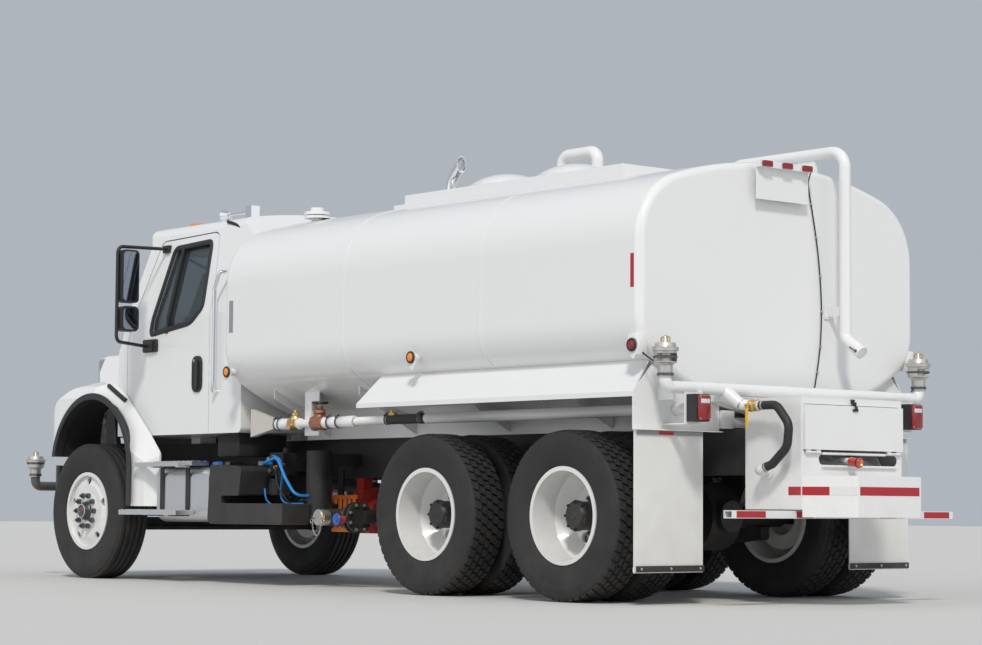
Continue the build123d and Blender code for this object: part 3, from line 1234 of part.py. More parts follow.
# Inside the cab
def cab_interior():
    dash = side_slab(outline([(-330, 1560), (-330, 1790), (-560, 1835, 60), (-600, 1740, 40),
                              (-560, 1560)]), -940, 940)
    pieces = [dash & cab_form(CAB_WALL + SEAT_GAP)]
    for y in (480, -480):
        cushion = side_slab(outline([(-1000, 1352, 30), (-980, 1500, 60), (-1430, 1480, 30),
                                     (-1440, 1352, 30)]),
                            y - 240, y + 240)
        back = side_slab(outline([(-1390, 1470, 20), (-1500, 1460, 40), (-1640, 2060, 45),
                                  (-1530, 2080, 45)]),
                         y - 230, y + 230)
        rest = side_slab(outline([(-1545, 2060), (-1625, 2050), (-1675, 2260, 40), (-1590, 2280, 40)]),
                         y - 130, y + 130)
        seat = cushion + back + rest + box(-1420, -1060, y - 150, y + 150, 1330 + SEAT_GAP, 1360)
        pieces.append(seat)
    hub, lean = (-770, 480, 1955), 35.0
    wheel = Location(hub, (0, lean, 0)) * (Torus(215, 15) + Cylinder(48, 26))
    for turn in (0, 120, 240):
        wheel += Location(hub, (0, lean, 0)) * (Rot(0, 0, turn) * Pos(110, 0, 0) * Box(210, 34, 10))
    column = rod((hub[0], hub[1], hub[2]), (-575, 480, 1700), 34)
    pieces[0] = pieces[0] + column + wheel
    return group(*pieces)


# Mirrors on the doors: a bent tube with a flat and a small convex head
MIRROR_Y = 1398.0
MIRROR_X = -800.0
MIRROR_TOP = CAB_ROOF - 247.0


def mirror_set():
    top = MIRROR_TOP
    tube = pipe([(-775, 950, top), (MIRROR_X, MIRROR_Y, top - 12), (MIRROR_X, MIRROR_Y, 1790),
                 (-668, 1036, 1772)],
                [50, 50], 13)
    foot = box(-760, -640, CAB_Y + SEAT_GAP, CAB_Y + 28, 1735, 1815)
    foot += box(-815, -735, 880, 960, top - 30, top + 27) - Pos(0, SEAT_GAP, 0) * cab_solid
    heads = Pos(MIRROR_X - 12, 1310, top - 235) * Box(70, 150, 400)
    heads = fillet(heads.edges().filter_by(Axis.X), 34)
    small = Pos(MIRROR_X - 12, 1310, top - 556) * Box(80, 150, 190)
    small = fillet(small.edges().filter_by(Axis.X), 40)
    reach = MIRROR_Y - 13 - SEAT_GAP
    arms = [rod((MIRROR_X, 1340, z), (MIRROR_X, reach, z), 8) for z in (top - 118, top - 358, top - 556)]
    return group(tube + foot, heads + arms[0] + arms[1], small + arms[2])


HORN_Y = 600.0
HORN_Z = CAB_ROOF + 15.0


def chrome_trim():
    # A grab bar behind the left door; on the right the exhaust's guard stands there.
    bar = pipe([(-1712, CAB_Y + SEAT_GAP, 2276), (-1706, CAB_Y + 52, 2270), (-1640, CAB_Y + 52, 2150),
                (-1640, CAB_Y + 52, 1450), (-1612, CAB_Y + 46, 1402), (-1612, CAB_Y + SEAT_GAP, 1402)],
               [25, 60, 40, 25], 15)
    horn = rod((-1375, HORN_Y, HORN_Z), (-1095, HORN_Y, HORN_Z), 12)
    horn += rod((-1100, HORN_Y, HORN_Z), (-1040, HORN_Y, HORN_Z), 20, 48)
    for x in (-1330, -1130):
        horn += rod((x, HORN_Y, CAB_ROOF - 75), (x, HORN_Y, HORN_Z), 9)
    cube = box(-1450, -1374, HORN_Y - 38, HORN_Y + 38, CAB_ROOF - 75, HORN_Z + 42)
    roof = Pos(0, 0, SEAT_GAP) * cab_solid
    return group(bar, (horn + cube) - roof)


# Pipework on the left, pump and suction pipe
def side_pipework():
    y, z = 1000.0, 1145.0
    run = pipe([(-2335, y, z), (-3250, y, z), (-3400, SUPPLY_Y, SUPPLY_Z), (-3470, SUPPLY_Y, SUPPLY_Z)],
               [60, 60], 30)
    run += rod((-2335, y, z), (-2410, y, z), 42) + rod((-2430, y, z), (-2500, y, z), 40)
    fan = plan_slab(Polygon((-2340, y - 28), (-2340, y + 28), (-2300, y + 26), (-2040, y + 22),
                            (-2040, y - 22),
                            (-2300, y - 26), align=None), z - 100, z + 120)
    fan &= side_slab(Polygon((-2350, z - 28), (-2350, z + 28), (-2040, z + 115), (-2040, z - 85), align=None),
                     y - 60, y + 60)
    run += fan
    run += rod((-2530, y, z), (-2590, y, z), 44) + rod((-2560, y, z), (-2560, y, z + 80), 14)
    run += rod((-2800, y, z), (-2900, y, z), 50) + rod((-2850, y, z), (-2850, y, z + 140), 13)
    run += rod((-2850, y, z + 132), (-2850, y, z + 146), 52)
    run += under_tank(box(-2790, -2620, 955, 963, 1060, 1500) + box(-2790, -2784, 955, 1035, 1090, 1290))
    run += box(-2785, -2625, 955, y + 5, z - 5, z + 5)
    return run


PUMP_X = -2560.0
PUMP_Y = 330.0
PUMP_Z = 540.0


def water_pump():
    pump = rod((PUMP_X - 70, PUMP_Y, PUMP_Z), (PUMP_X + 60, PUMP_Y, PUMP_Z), 165)
    pump += rod((PUMP_X + 60, PUMP_Y, PUMP_Z), (PUMP_X + 260, PUMP_Y, PUMP_Z), 95, 60)
    pump += rod((PUMP_X - 150, PUMP_Y, PUMP_Z), (PUMP_X - 60, PUMP_Y, PUMP_Z), 90)
    pump += box(PUMP_X - 40, PUMP_X + 40, PUMP_Y + 15, PUMP_Y + 95, PUMP_Z, FRAME_BOTTOM - SEAT_GAP)
    return pump


def suction_pipe():
    r = 62.0
    x, y = -2520.0, 760.0
    z = 490.0
    body = rod((x, y, z - 20), (x, y, 960), 92)
    body += box(x - 60, x + 60, FRAME_Y + SEAT_GAP, y, 860, 940)
    body += rod((x, y, z), (-3010, y, z), r)
    body += rod((-2935, y, z), (-2955, y, z), 108) + rod((-2985, y, z), (-3005, y, z), 108)
    body += rod((-2813, y, z), (-2813, 960, z), 42) + rod((-2813, 900, z), (-2813, 985, z), 52)
    body += rod((PUMP_X - 150 - SEAT_GAP, PUMP_Y, PUMP_Z), (PUMP_X - 290, PUMP_Y, PUMP_Z), 60)
    body += pipe([(PUMP_X - 280, PUMP_Y, PUMP_Z), (-2980, PUMP_Y, PUMP_Z - 30), (-2990, y - 20, z)], [80], 52)
    return body


MARKER_LAMPS = [(-2036.0, 1521.0), (-4160.0, 1536.0), (-6250.0, 1522.0)]
MARKER_R = 28.0


def lamps():
    pieces = []
    for x, z in MARKER_LAMPS:
        skin = low_side_y(z)
        body = rod((x, skin + SEAT_GAP, z), (x, skin + 40, z), MARKER_R)
        pieces += [under_side(body, skin), other_side(under_side(body, skin))]
    housing = box(TAIL_X - 81, TAIL_X - 4 - SEAT_GAP, TAIL_Y - 55, TAIL_Y + 55, 1074, 1234)
    pieces += [housing, other_side(housing)]
    roof = Pos(0, 0, SEAT_GAP) * cab_solid
    for y in (-640, -180, 0, 180, 640):
        marker = box(-740, -650, y - 25, y + 25, CAB_BROW + 40, CAB_ROOF + 135) & Pos(0, 0, 22) * cab_solid
        pieces.append(marker - roof)
    return group(*pieces)


def under_side(body, skin):
    return body - Pos(0, SEAT_GAP, 0) * tank_body


keep("fuel_tank", fuel_tank())
keep("battery_box", battery_box())
keep("cab_steps", cab_steps())
keep("air_valves", air_valves())
keep("air_line", air_line())
keep("exhaust", exhaust())
keep("cab_interior", cab_interior())
keep("mirror_left", mirror_set())
keep("mirror_right", other_side(mirror_set()))
keep("chrome_trim", chrome_trim())
keep("side_pipework", side_pipework())
keep("water_pump", water_pump())
keep("suction_pipe", suction_pipe())
keep("lamps", lamps())
connector = rod((-3470 - SEAT_GAP, SUPPLY_Y, SUPPLY_Z), (SUPPLY_FRONT + SEAT_GAP, SUPPLY_Y, SUPPLY_Z), 33)
keep("feed_hose", group(PIECES["feed_hose"], connector))

for name, shape in PIECES.items():
    placed = [Pos(ORIGIN_X, 0, 0) * solid for solid in shape.solids()]
    piece = Compound(placed) if len(placed) > 1 else placed[0]
    export_step(piece, "parts/" + name + ".step")
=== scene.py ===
import bpy
import bmesh
from math import atan2, cos, pi, radians, sin, sqrt
from mathutils import Matrix, Vector
from mathutils.bvhtree import BVHTree


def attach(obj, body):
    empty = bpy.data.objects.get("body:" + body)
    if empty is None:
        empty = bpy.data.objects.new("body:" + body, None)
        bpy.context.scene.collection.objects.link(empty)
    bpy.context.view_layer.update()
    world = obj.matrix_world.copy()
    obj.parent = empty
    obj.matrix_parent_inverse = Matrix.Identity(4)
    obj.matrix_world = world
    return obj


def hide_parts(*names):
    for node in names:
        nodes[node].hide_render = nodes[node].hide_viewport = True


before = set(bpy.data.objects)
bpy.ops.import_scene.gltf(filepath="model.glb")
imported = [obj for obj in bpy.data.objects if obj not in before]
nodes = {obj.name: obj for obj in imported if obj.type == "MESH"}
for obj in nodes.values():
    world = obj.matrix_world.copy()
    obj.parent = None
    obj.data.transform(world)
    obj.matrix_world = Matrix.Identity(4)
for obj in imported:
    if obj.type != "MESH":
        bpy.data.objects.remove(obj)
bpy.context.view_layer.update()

# %% [markdown]
# # A water tanker truck
# The engineering model arrives as plain solids in metres: +X is forwards, +Y is the truck's left
# and the ground is z = 0. Everything added here is placed from those solids, and the solids
# themselves keep their shape. This cell names the few places that many pieces share.

# %% Shared places
FRONT_AXLE_X = 3.05
AXLE_Z = 0.52
FRONT_Y = 1.03
TWIN_Y = (1.08, 0.74)
MID_X = FRONT_AXLE_X - 4.275
REAR_X = MID_X - 1.33
TANK_SIDE_Y = 1.22
TANK_TOP_Z = 2.700
TANK_REAR_X = FRONT_AXLE_X - 6.30
TANK_FRONT_X = FRONT_AXLE_X - 1.972
SIDES = (("left", 1), ("right", -1))


def spot(x, y, z):
    """A place measured from the front axle, as all the sizes of this truck are."""
    return Vector((FRONT_AXLE_X + x, y, z))


def both(side, y0, y1):
    """A pair of y values in rising order, for the left or the right side."""
    return sorted((side * y0, side * y1))


def mirrored(side, low, high):
    """Corners that are given for the left side, on the left or the right side."""
    y0, y1 = both(side, low[1], high[1])
    return (low[0], y0, low[2]), (high[0], y1, high[2])


def around(count, radius, turn=0.0):
    """Offsets spaced evenly round a circle."""
    angles = [2 * pi * index / count + turn for index in range(count)]
    return [(radius * cos(angle), radius * sin(angle)) for angle in angles]


# %% [markdown]
# ## Small helpers
# A new piece starts as a bmesh, the editable mesh that Blender's operators work on. The helper
# below turns one into an object with a material, lets it ride on a body of the truck, and leaves
# its origin at the world's origin so that patterns in the material stay still.

# %% Helpers for pieces
SHARP_ANGLE = radians(35)


def linked(name, data):
    """A new object of the data, in the scene."""
    made = bpy.data.objects.new(name, data)
    bpy.context.scene.collection.objects.link(made)
    return made


def finished(bm, name, finishes, body="chassis", smooth=True):
    """Makes an object of the bmesh. Its faces are turned outwards and shaded by angle."""
    bmesh.ops.recalc_face_normals(bm, faces=bm.faces)
    mesh = bpy.data.meshes.new(name)
    bm.to_mesh(mesh)
    bm.free()
    piece = linked(name, mesh)
    for key in finishes.split():
        mesh.materials.append(FINISH[key])
    if smooth:
        mesh.shade_smooth()
        mesh.set_sharp_from_angle(angle=SHARP_ANGLE)
    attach(piece, body)
    return piece


def placed(at, turn_x=0, turn_y=0):
    """A placing matrix: turns about x, then y, in degrees, then moves."""
    turn = Matrix.Rotation(radians(turn_y), 4, "Y") @ Matrix.Rotation(radians(turn_x), 4, "X")
    return Matrix.Translation(at) @ turn


def aimed(at, along):
    """A placing matrix that turns local Z into a direction, then moves."""
    return Matrix.Translation(at) @ along.to_track_quat("Z", "Y").to_matrix().to_4x4()


def give_slot(verts, mat):
    """Gives the faces at these points a material slot."""
    for face in {f for v in verts for f in v.link_faces}:
        face.material_index = mat
    return verts


def fresh_points(made):
    """The points among what an operator made."""
    return [g for g in made["geom"] if isinstance(g, bmesh.types.BMVert)]


def add_cube(bm, centre, size, turn=Matrix()):
    """A cuboid of a size at a place."""
    matrix = Matrix.Translation(centre) @ turn @ Matrix.Diagonal((*size, 1))
    return bmesh.ops.create_cube(bm, size=1, matrix=matrix)


def add_block(bm, low, high, bevel=0.0, mat=0):
    """A block between two corners, its edges rounded over by bevel."""
    low, high = Vector(low), Vector(high)
    made = add_cube(bm, (low + high) / 2, high - low)
    if bevel:
        edges = list({e for v in made["verts"] for e in v.link_edges})
        made = bmesh.ops.bevel(bm, geom=edges, offset=bevel, affect="EDGES", segments=2, profile=0.5,
                               material=-1)
    return give_slot(made["verts"], mat)


def add_rod(bm, start, end, r0, r1=None, sides=24, mat=0):
    """A round bar or cone from one point to another."""
    start, end = Vector(start), Vector(end)
    along = end - start
    made = bmesh.ops.create_cone(bm, cap_ends=True, segments=sides, radius1=r0,
                                 radius2=r0 if r1 is None else r1, depth=along.length,
                                 matrix=aimed((start + end) / 2, along))
    return give_slot(made["verts"], mat)


def add_turned(bm, profile, matrix, steps=48, mat=0, closed=False):
    """A profile of (radius, height) points turned about local Z, then placed by the matrix."""
    verts = [bm.verts.new((r, 0, h)) for r, h in profile]
    edges = [bm.edges.new(pair) for pair in zip(verts, verts[1:])]
    if closed:
        edges.append(bm.edges.new((verts[-1], verts[0])))
    spun = bmesh.ops.spin(bm, geom=verts + edges, cent=(0, 0, 0), axis=(0, 0, 1), angle=2 * pi, steps=steps,
                          use_merge=True)
    faces = {f for v in spun["geom_last"] if isinstance(v, bmesh.types.BMVert) for f in v.link_faces}
    reached, edge = set(faces), list(faces)
    while edge:
        face = edge.pop()
        for side in face.edges:
            for other in side.link_faces:
                if other not in reached:
                    reached.add(other)
                    edge.append(other)
    points = list({v for f in reached for v in f.verts})
    for face in reached:
        face.material_index = mat
    bmesh.ops.remove_doubles(bm, verts=points, dist=1e-6)
    points = [v for v in points if v.is_valid]
    bmesh.ops.transform(bm, matrix=matrix, verts=points)
    return points


def add_nut(bm, at, toward, across, height, stud=0.0, mat=0):
    """A hexagon nut on a seat, and the end of its stud."""
    at, toward = Vector(at), Vector(toward).normalized()
    add_rod(bm, at, at + toward * height, across * 0.577, across * 0.56, sides=6, mat=mat)
    if stud:
        add_rod(bm, at + toward * height * 0.9, at + toward * (height + stud), across * 0.28, sides=10,
                mat=mat)


def tube_along(points, radius, name, finish="rubber", body="chassis", sides=4, cyclic=False):
    """A round line along a smooth curve, for wires, seals and beads."""
    curve = bpy.data.curves.new(name, "CURVE")
    curve.dimensions = "3D"
    spline = curve.splines.new("NURBS")
    spline.points.add(len(points) - 1)
    for point, place in zip(spline.points, points):
        point.co = (*place, 1)
    spline.use_cyclic_u = cyclic
    spline.order_u = 3
    spline.use_endpoint_u = not cyclic
    spline.resolution_u = 6
    curve.bevel_depth = radius
    curve.bevel_resolution = sides
    curve.use_fill_caps = True
    holder = bpy.data.objects.new(name, curve)
    mesh = bpy.data.meshes.new_from_object(holder)
    bpy.data.objects.remove(holder)
    bpy.data.curves.remove(curve)
    mesh.name = name
    piece = linked(name, mesh)
    mesh.materials.clear()
    mesh.materials.append(FINISH[finish])
    mesh.shade_smooth()
    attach(piece, body)
    return piece


# %% [markdown]
# ## Camera
# The picture was taken from behind and to the left, low down, with a long lens. The place, the
# aim and the lens were worked out from the wheels and the tank's edges.

# %% Camera
CAMERA_AT = (-16.788 + FRONT_AXLE_X, 11.165, 0.567)
CAMERA_YAW, CAMERA_PITCH, CAMERA_ROLL = -40.04, 4.27, 0.38
FOCAL_PIXELS, PHOTO_WIDTH, SENSOR_MM = 2477, 982, 36
LENS_MM = FOCAL_PIXELS * SENSOR_MM / PHOTO_WIDTH

camera_data = bpy.data.cameras.new("camera")
camera_data.lens = LENS_MM
camera_data.sensor_width = SENSOR_MM
camera_data.clip_end = 200
camera = linked("camera", camera_data)
aim = Vector((cos(radians(CAMERA_YAW)) * cos(radians(CAMERA_PITCH)),
              sin(radians(CAMERA_YAW)) * cos(radians(CAMERA_PITCH)), sin(radians(CAMERA_PITCH))))
camera.matrix_world = (Matrix.Translation(CAMERA_AT) @ aim.to_track_quat("-Z", "Y").to_matrix().to_4x4()
                       @ Matrix.Rotation(radians(CAMERA_ROLL), 4, "Z"))
bpy.context.scene.camera = camera
print("lens mm", round(LENS_MM, 1))

# %% [markdown]
# ## Shared shader groups
# Real surfaces are never one flat value. Four effects come back in many finishes here: slow
# mottling, road dust that thickens towards the ground, fine grain, and the drawn lines of
# brushed metal. Each is one node group, built once, with its strength as an input.

# %% Node helpers
def start_group(name, inputs, outputs):
    """A node group with named sockets: (name, kind, value) in, (name, kind) out."""
    group = bpy.data.node_groups.new(name, "ShaderNodeTree")
    for label, kind, value in inputs:
        socket = group.interface.new_socket(name=label, in_out="INPUT", socket_type="NodeSocket" + kind)
        socket.default_value = value
    for label, kind in outputs:
        group.interface.new_socket(name=label, in_out="OUTPUT", socket_type="NodeSocket" + kind)
    return group, group.nodes.new("NodeGroupInput"), group.nodes.new("NodeGroupOutput")


def math_node(tree, operation, first, second=None, clamp=False):
    """One Math node. Its inputs are numbers or sockets."""
    node = tree.nodes.new("ShaderNodeMath")
    node.operation = operation
    node.use_clamp = clamp
    for index, value in enumerate((first, second)):
        if value is None:
            continue
        if hasattr(value, "is_linked"):
            tree.links.new(value, node.inputs[index])
        else:
            node.inputs[index].default_value = value
    return node.outputs[0]


def noise_node(tree, vector, scale, detail=4.0, stretch=None):
    """Noise on a vector, which may be stretched along the axes first."""
    if stretch:
        mapping = tree.nodes.new("ShaderNodeMapping")
        mapping.inputs["Scale"].default_value = stretch
        tree.links.new(vector, mapping.inputs["Vector"])
        vector = mapping.outputs["Vector"]
    noise = tree.nodes.new("ShaderNodeTexNoise")
    noise.inputs["Detail"].default_value = detail
    if hasattr(scale, "is_linked"):
        tree.links.new(scale, noise.inputs["Scale"])
    else:
        noise.inputs["Scale"].default_value = scale
    tree.links.new(vector, noise.inputs["Vector"])
    return noise.outputs["Fac"]


def own_place(tree):
    """The place on the object, which stays with it when it moves."""
    return tree.nodes.new("ShaderNodeTexCoord").outputs["Object"]


def between(tree, factor, low, high):
    """A value that goes from low to high with the factor."""
    spread = math_node(tree, "SUBTRACT", high, low)
    return math_node(tree, "ADD", math_node(tree, "MULTIPLY", factor, spread), low)


# %% Mottle group
def build_mottle():
    """Slow blotches between two values, for gloss that changes over a panel."""
    group, given, out = start_group("mottle", [("Scale", "Float", 3.0), ("Low", "Float", 0.2),
                                               ("High", "Float", 0.3)], [("Value", "Float")])
    noise = noise_node(group, own_place(group), given.outputs["Scale"])
    value = between(group, noise, given.outputs["Low"], given.outputs["High"])
    group.links.new(value, out.inputs["Value"])
    return group


# %% Road dust group
def build_dust():
    """Mixes a dust colour over a paint colour, more of it near the ground and in patches."""
    group, given, out = start_group("road_dust", [
        ("Paint", "Color", (0.8, 0.8, 0.8, 1)), ("Dust", "Color", (0.42, 0.34, 0.25, 1)),
        ("Top", "Float", 1.2), ("Strength", "Float", 0.3), ("Roughness", "Float", 0.3)],
        [("Colour", "Color"), ("Roughness", "Float")])
    where = own_place(group)
    split = group.nodes.new("ShaderNodeSeparateXYZ")
    group.links.new(where, split.inputs[0])
    height = math_node(group, "DIVIDE", split.outputs["Z"], given.outputs["Top"])
    low = math_node(group, "SUBTRACT", 1.0, height, clamp=True)
    patches = noise_node(group, where, 6.0, 6.0)
    patches = math_node(group, "MULTIPLY", math_node(group, "SUBTRACT", patches, 0.25), 2.0, clamp=True)
    amount = math_node(group, "MULTIPLY", math_node(group, "MULTIPLY", low, patches),
                       given.outputs["Strength"], clamp=True)
    mix = group.nodes.new("ShaderNodeMix")
    mix.data_type = "RGBA"
    group.links.new(amount, mix.inputs["Factor"])
    group.links.new(given.outputs["Paint"], mix.inputs["A"])
    group.links.new(given.outputs["Dust"], mix.inputs["B"])
    group.links.new(mix.outputs["Result"], out.inputs["Colour"])
    rough = math_node(group, "ADD", given.outputs["Roughness"], math_node(group, "MULTIPLY", amount, 0.6))
    group.links.new(rough, out.inputs["Roughness"])
    return group


# %% Grain and drawn lines groups
def build_fine(name, scale, low, high, detail, stretch=None):
    """Fine bumps as a height and a roughness: grain, or drawn lines along X where it is stretched."""
    group, given, out = start_group(name, [("Scale", "Float", scale), ("Rough low", "Float", low),
                                           ("Rough high", "Float",
                                            high)], [("Height", "Float"), ("Roughness", "Float")])
    where = own_place(group)
    fine = noise_node(group, where, given.outputs["Scale"], detail, stretch)
    slow = fine if stretch else noise_node(group, where, 9.0, 3.0)
    rough = between(group, slow, given.outputs["Rough low"], given.outputs["Rough high"])
    group.links.new(fine, out.inputs["Height"])
    group.links.new(rough, out.inputs["Roughness"])
    return group


GROUPS = {"mottle": build_mottle(), "dust": build_dust(),
          "grain": build_fine("fine_grain", 400.0, 0.5, 0.7, 2.0),
          "lines": build_fine("drawn_lines", 60.0, 0.22, 0.4, 3.0, (0.03, 1.0, 1.0))}
print("shader groups", sorted(GROUPS))

# %% [markdown]
# ## Finishes
# The body paint is a clean gloss white with a little dust low down. Frame and axles are satin
# black with more dust. Lenses are coloured plastic, straps and steps are brushed metal, and the
# tyres are a dusty dark grey, never pure black.

# %% Material helpers
def start_material(name, colour, roughness=0.5, metallic=0.0, **sockets):
    """A Principled material. Extra values go to the sockets of the same name."""
    material = bpy.data.materials.new(name)
    material.use_nodes = True
    tree = material.node_tree
    shader = next(n for n in tree.nodes if n.type == "BSDF_PRINCIPLED")
    shader.inputs["Base Color"].default_value = (*colour, 1)
    shader.inputs["Roughness"].default_value = roughness
    shader.inputs["Metallic"].default_value = metallic
    for label, value in sockets.items():
        shader.inputs[label.replace("_", " ")].default_value = value
    material.diffuse_color = (*colour, 1)
    return material, tree, shader


def use_group(tree, key, **values):
    """Places a shared group in a material and sets its inputs."""
    node = tree.nodes.new("ShaderNodeGroup")
    node.node_tree = GROUPS[key]
    for label, value in values.items():
        node.inputs[label.replace("_", " ")].default_value = value
    return node


def bump_from(tree, shader, height, strength, distance=0.001):
    """A bump node that feeds the shader's normal."""
    bump = tree.nodes.new("ShaderNodeBump")
    bump.inputs["Strength"].default_value = strength
    bump.inputs["Distance"].default_value = distance
    tree.links.new(height, bump.inputs["Height"])
    tree.links.new(bump.outputs["Normal"], shader.inputs["Normal"])


def cells_node(tree, scale, randomness):
    """Small cells on the surface, for moulded optics and tape."""
    cells = tree.nodes.new("ShaderNodeTexVoronoi")
    cells.inputs["Scale"].default_value = scale
    cells.inputs["Randomness"].default_value = randomness
    tree.links.new(own_place(tree), cells.inputs["Vector"])
    return cells.outputs["Distance"]


def feed(tree, shader, node, **pairs):
    """Links outputs of a node to inputs of the shader: Input_Name="Output"."""
    for label, output in pairs.items():
        tree.links.new(node.outputs[output], shader.inputs[label.replace("_", " ")])


# %% Paint
def paint(name, colour, roughness=0.25, top=1.2, dust=0.25, coat=0.5):
    """Gloss paint: an even colour, a clear coat, a faint ripple and dust low down."""
    material, tree, shader = start_material(name, colour, roughness, Coat_Weight=coat, Coat_Roughness=0.08)
    dusty = use_group(tree, "dust", Paint=(*colour, 1), Top=top, Strength=dust, Roughness=roughness)
    feed(tree, shader, dusty, Base_Color="Colour", Roughness="Roughness")
    ripple = use_group(tree, "mottle", Scale=5.0, Low=0.0, High=1.0)
    bump_from(tree, shader, ripple.outputs["Value"], 0.04, 0.004)
    return material


def grained(name, colour, low=0.5, high=0.75, scale=400.0, bump=0.25, top=1.0, dust=0.2, metallic=0.0):
    """Rubber, moulded plastic or a raw casting: fine grain, uneven gloss and dust."""
    material, tree, shader = start_material(name, colour, low, metallic)
    grain = use_group(tree, "grain", Scale=scale, Rough_low=low, Rough_high=high)
    dusty = use_group(tree, "dust", Paint=(*colour, 1), Top=top, Strength=dust)
    tree.links.new(grain.outputs["Roughness"], dusty.inputs["Roughness"])
    feed(tree, shader, dusty, Base_Color="Colour", Roughness="Roughness")
    bump_from(tree, shader, grain.outputs["Height"], bump)
    return material


def bare_metal(name, colour, low=0.2, high=0.4, lines=60.0, bump=0.08):
    """Brushed, drawn or machined metal."""
    material, tree, shader = start_material(name, colour, low, 1.0)
    drawn = use_group(tree, "lines", Scale=lines, Rough_low=low, Rough_high=high)
    feed(tree, shader, drawn, Roughness="Roughness")
    bump_from(tree, shader, drawn.outputs["Height"], bump, 0.0006)
    return material


def bright_metal(name, colour, low=0.05, high=0.14):
    """Chrome or polish: a mirror with slow changes of gloss."""
    material, tree, shader = start_material(name, colour, low, 1.0)
    gloss = use_group(tree, "mottle", Scale=8.0, Low=low, High=high)
    feed(tree, shader, gloss, Roughness="Value")
    return material


def lens(name, colour, cells=70.0):
    """A lamp's moulded lens: coloured plastic with rows of small optics."""
    material, tree, shader = start_material(name, colour, 0.12, Coat_Weight=0.6, Coat_Roughness=0.05)
    bump_from(tree, shader, cells_node(tree, cells, 0.0), 0.5, 0.003)
    gloss = use_group(tree, "mottle", Scale=30.0, Low=0.08, High=0.18)
    feed(tree, shader, gloss, Roughness="Value")
    return material


def tape(name, colour):
    """Retroreflective tape: flat colour with a fine hexagon cell pattern."""
    material, tree, shader = start_material(name, colour, 0.3, Coat_Weight=0.3)
    cells = cells_node(tree, 260.0, 0.15)
    shade = tree.nodes.new("ShaderNodeMix")
    shade.data_type = "RGBA"
    shade.inputs["A"].default_value = (*[c * 0.8 for c in colour], 1)
    shade.inputs["B"].default_value = (*colour, 1)
    tree.links.new(cells, shade.inputs["Factor"])
    tree.links.new(shade.outputs["Result"], shader.inputs["Base Color"])
    bump_from(tree, shader, cells, 0.15)
    return material


def tinted_glass(name):
    """Dark, clear window glass with a trace of dust in its gloss."""
    material, tree, shader = start_material(name, (0.30, 0.36, 0.37), 0.03, Transmission_Weight=0.9,
                                            IOR=1.45)
    film = use_group(tree, "mottle", Scale=4.0, Low=0.02, High=0.07)
    feed(tree, shader, film, Roughness="Value")
    material.diffuse_color = (0.3, 0.36, 0.37, 0.35)
    return material


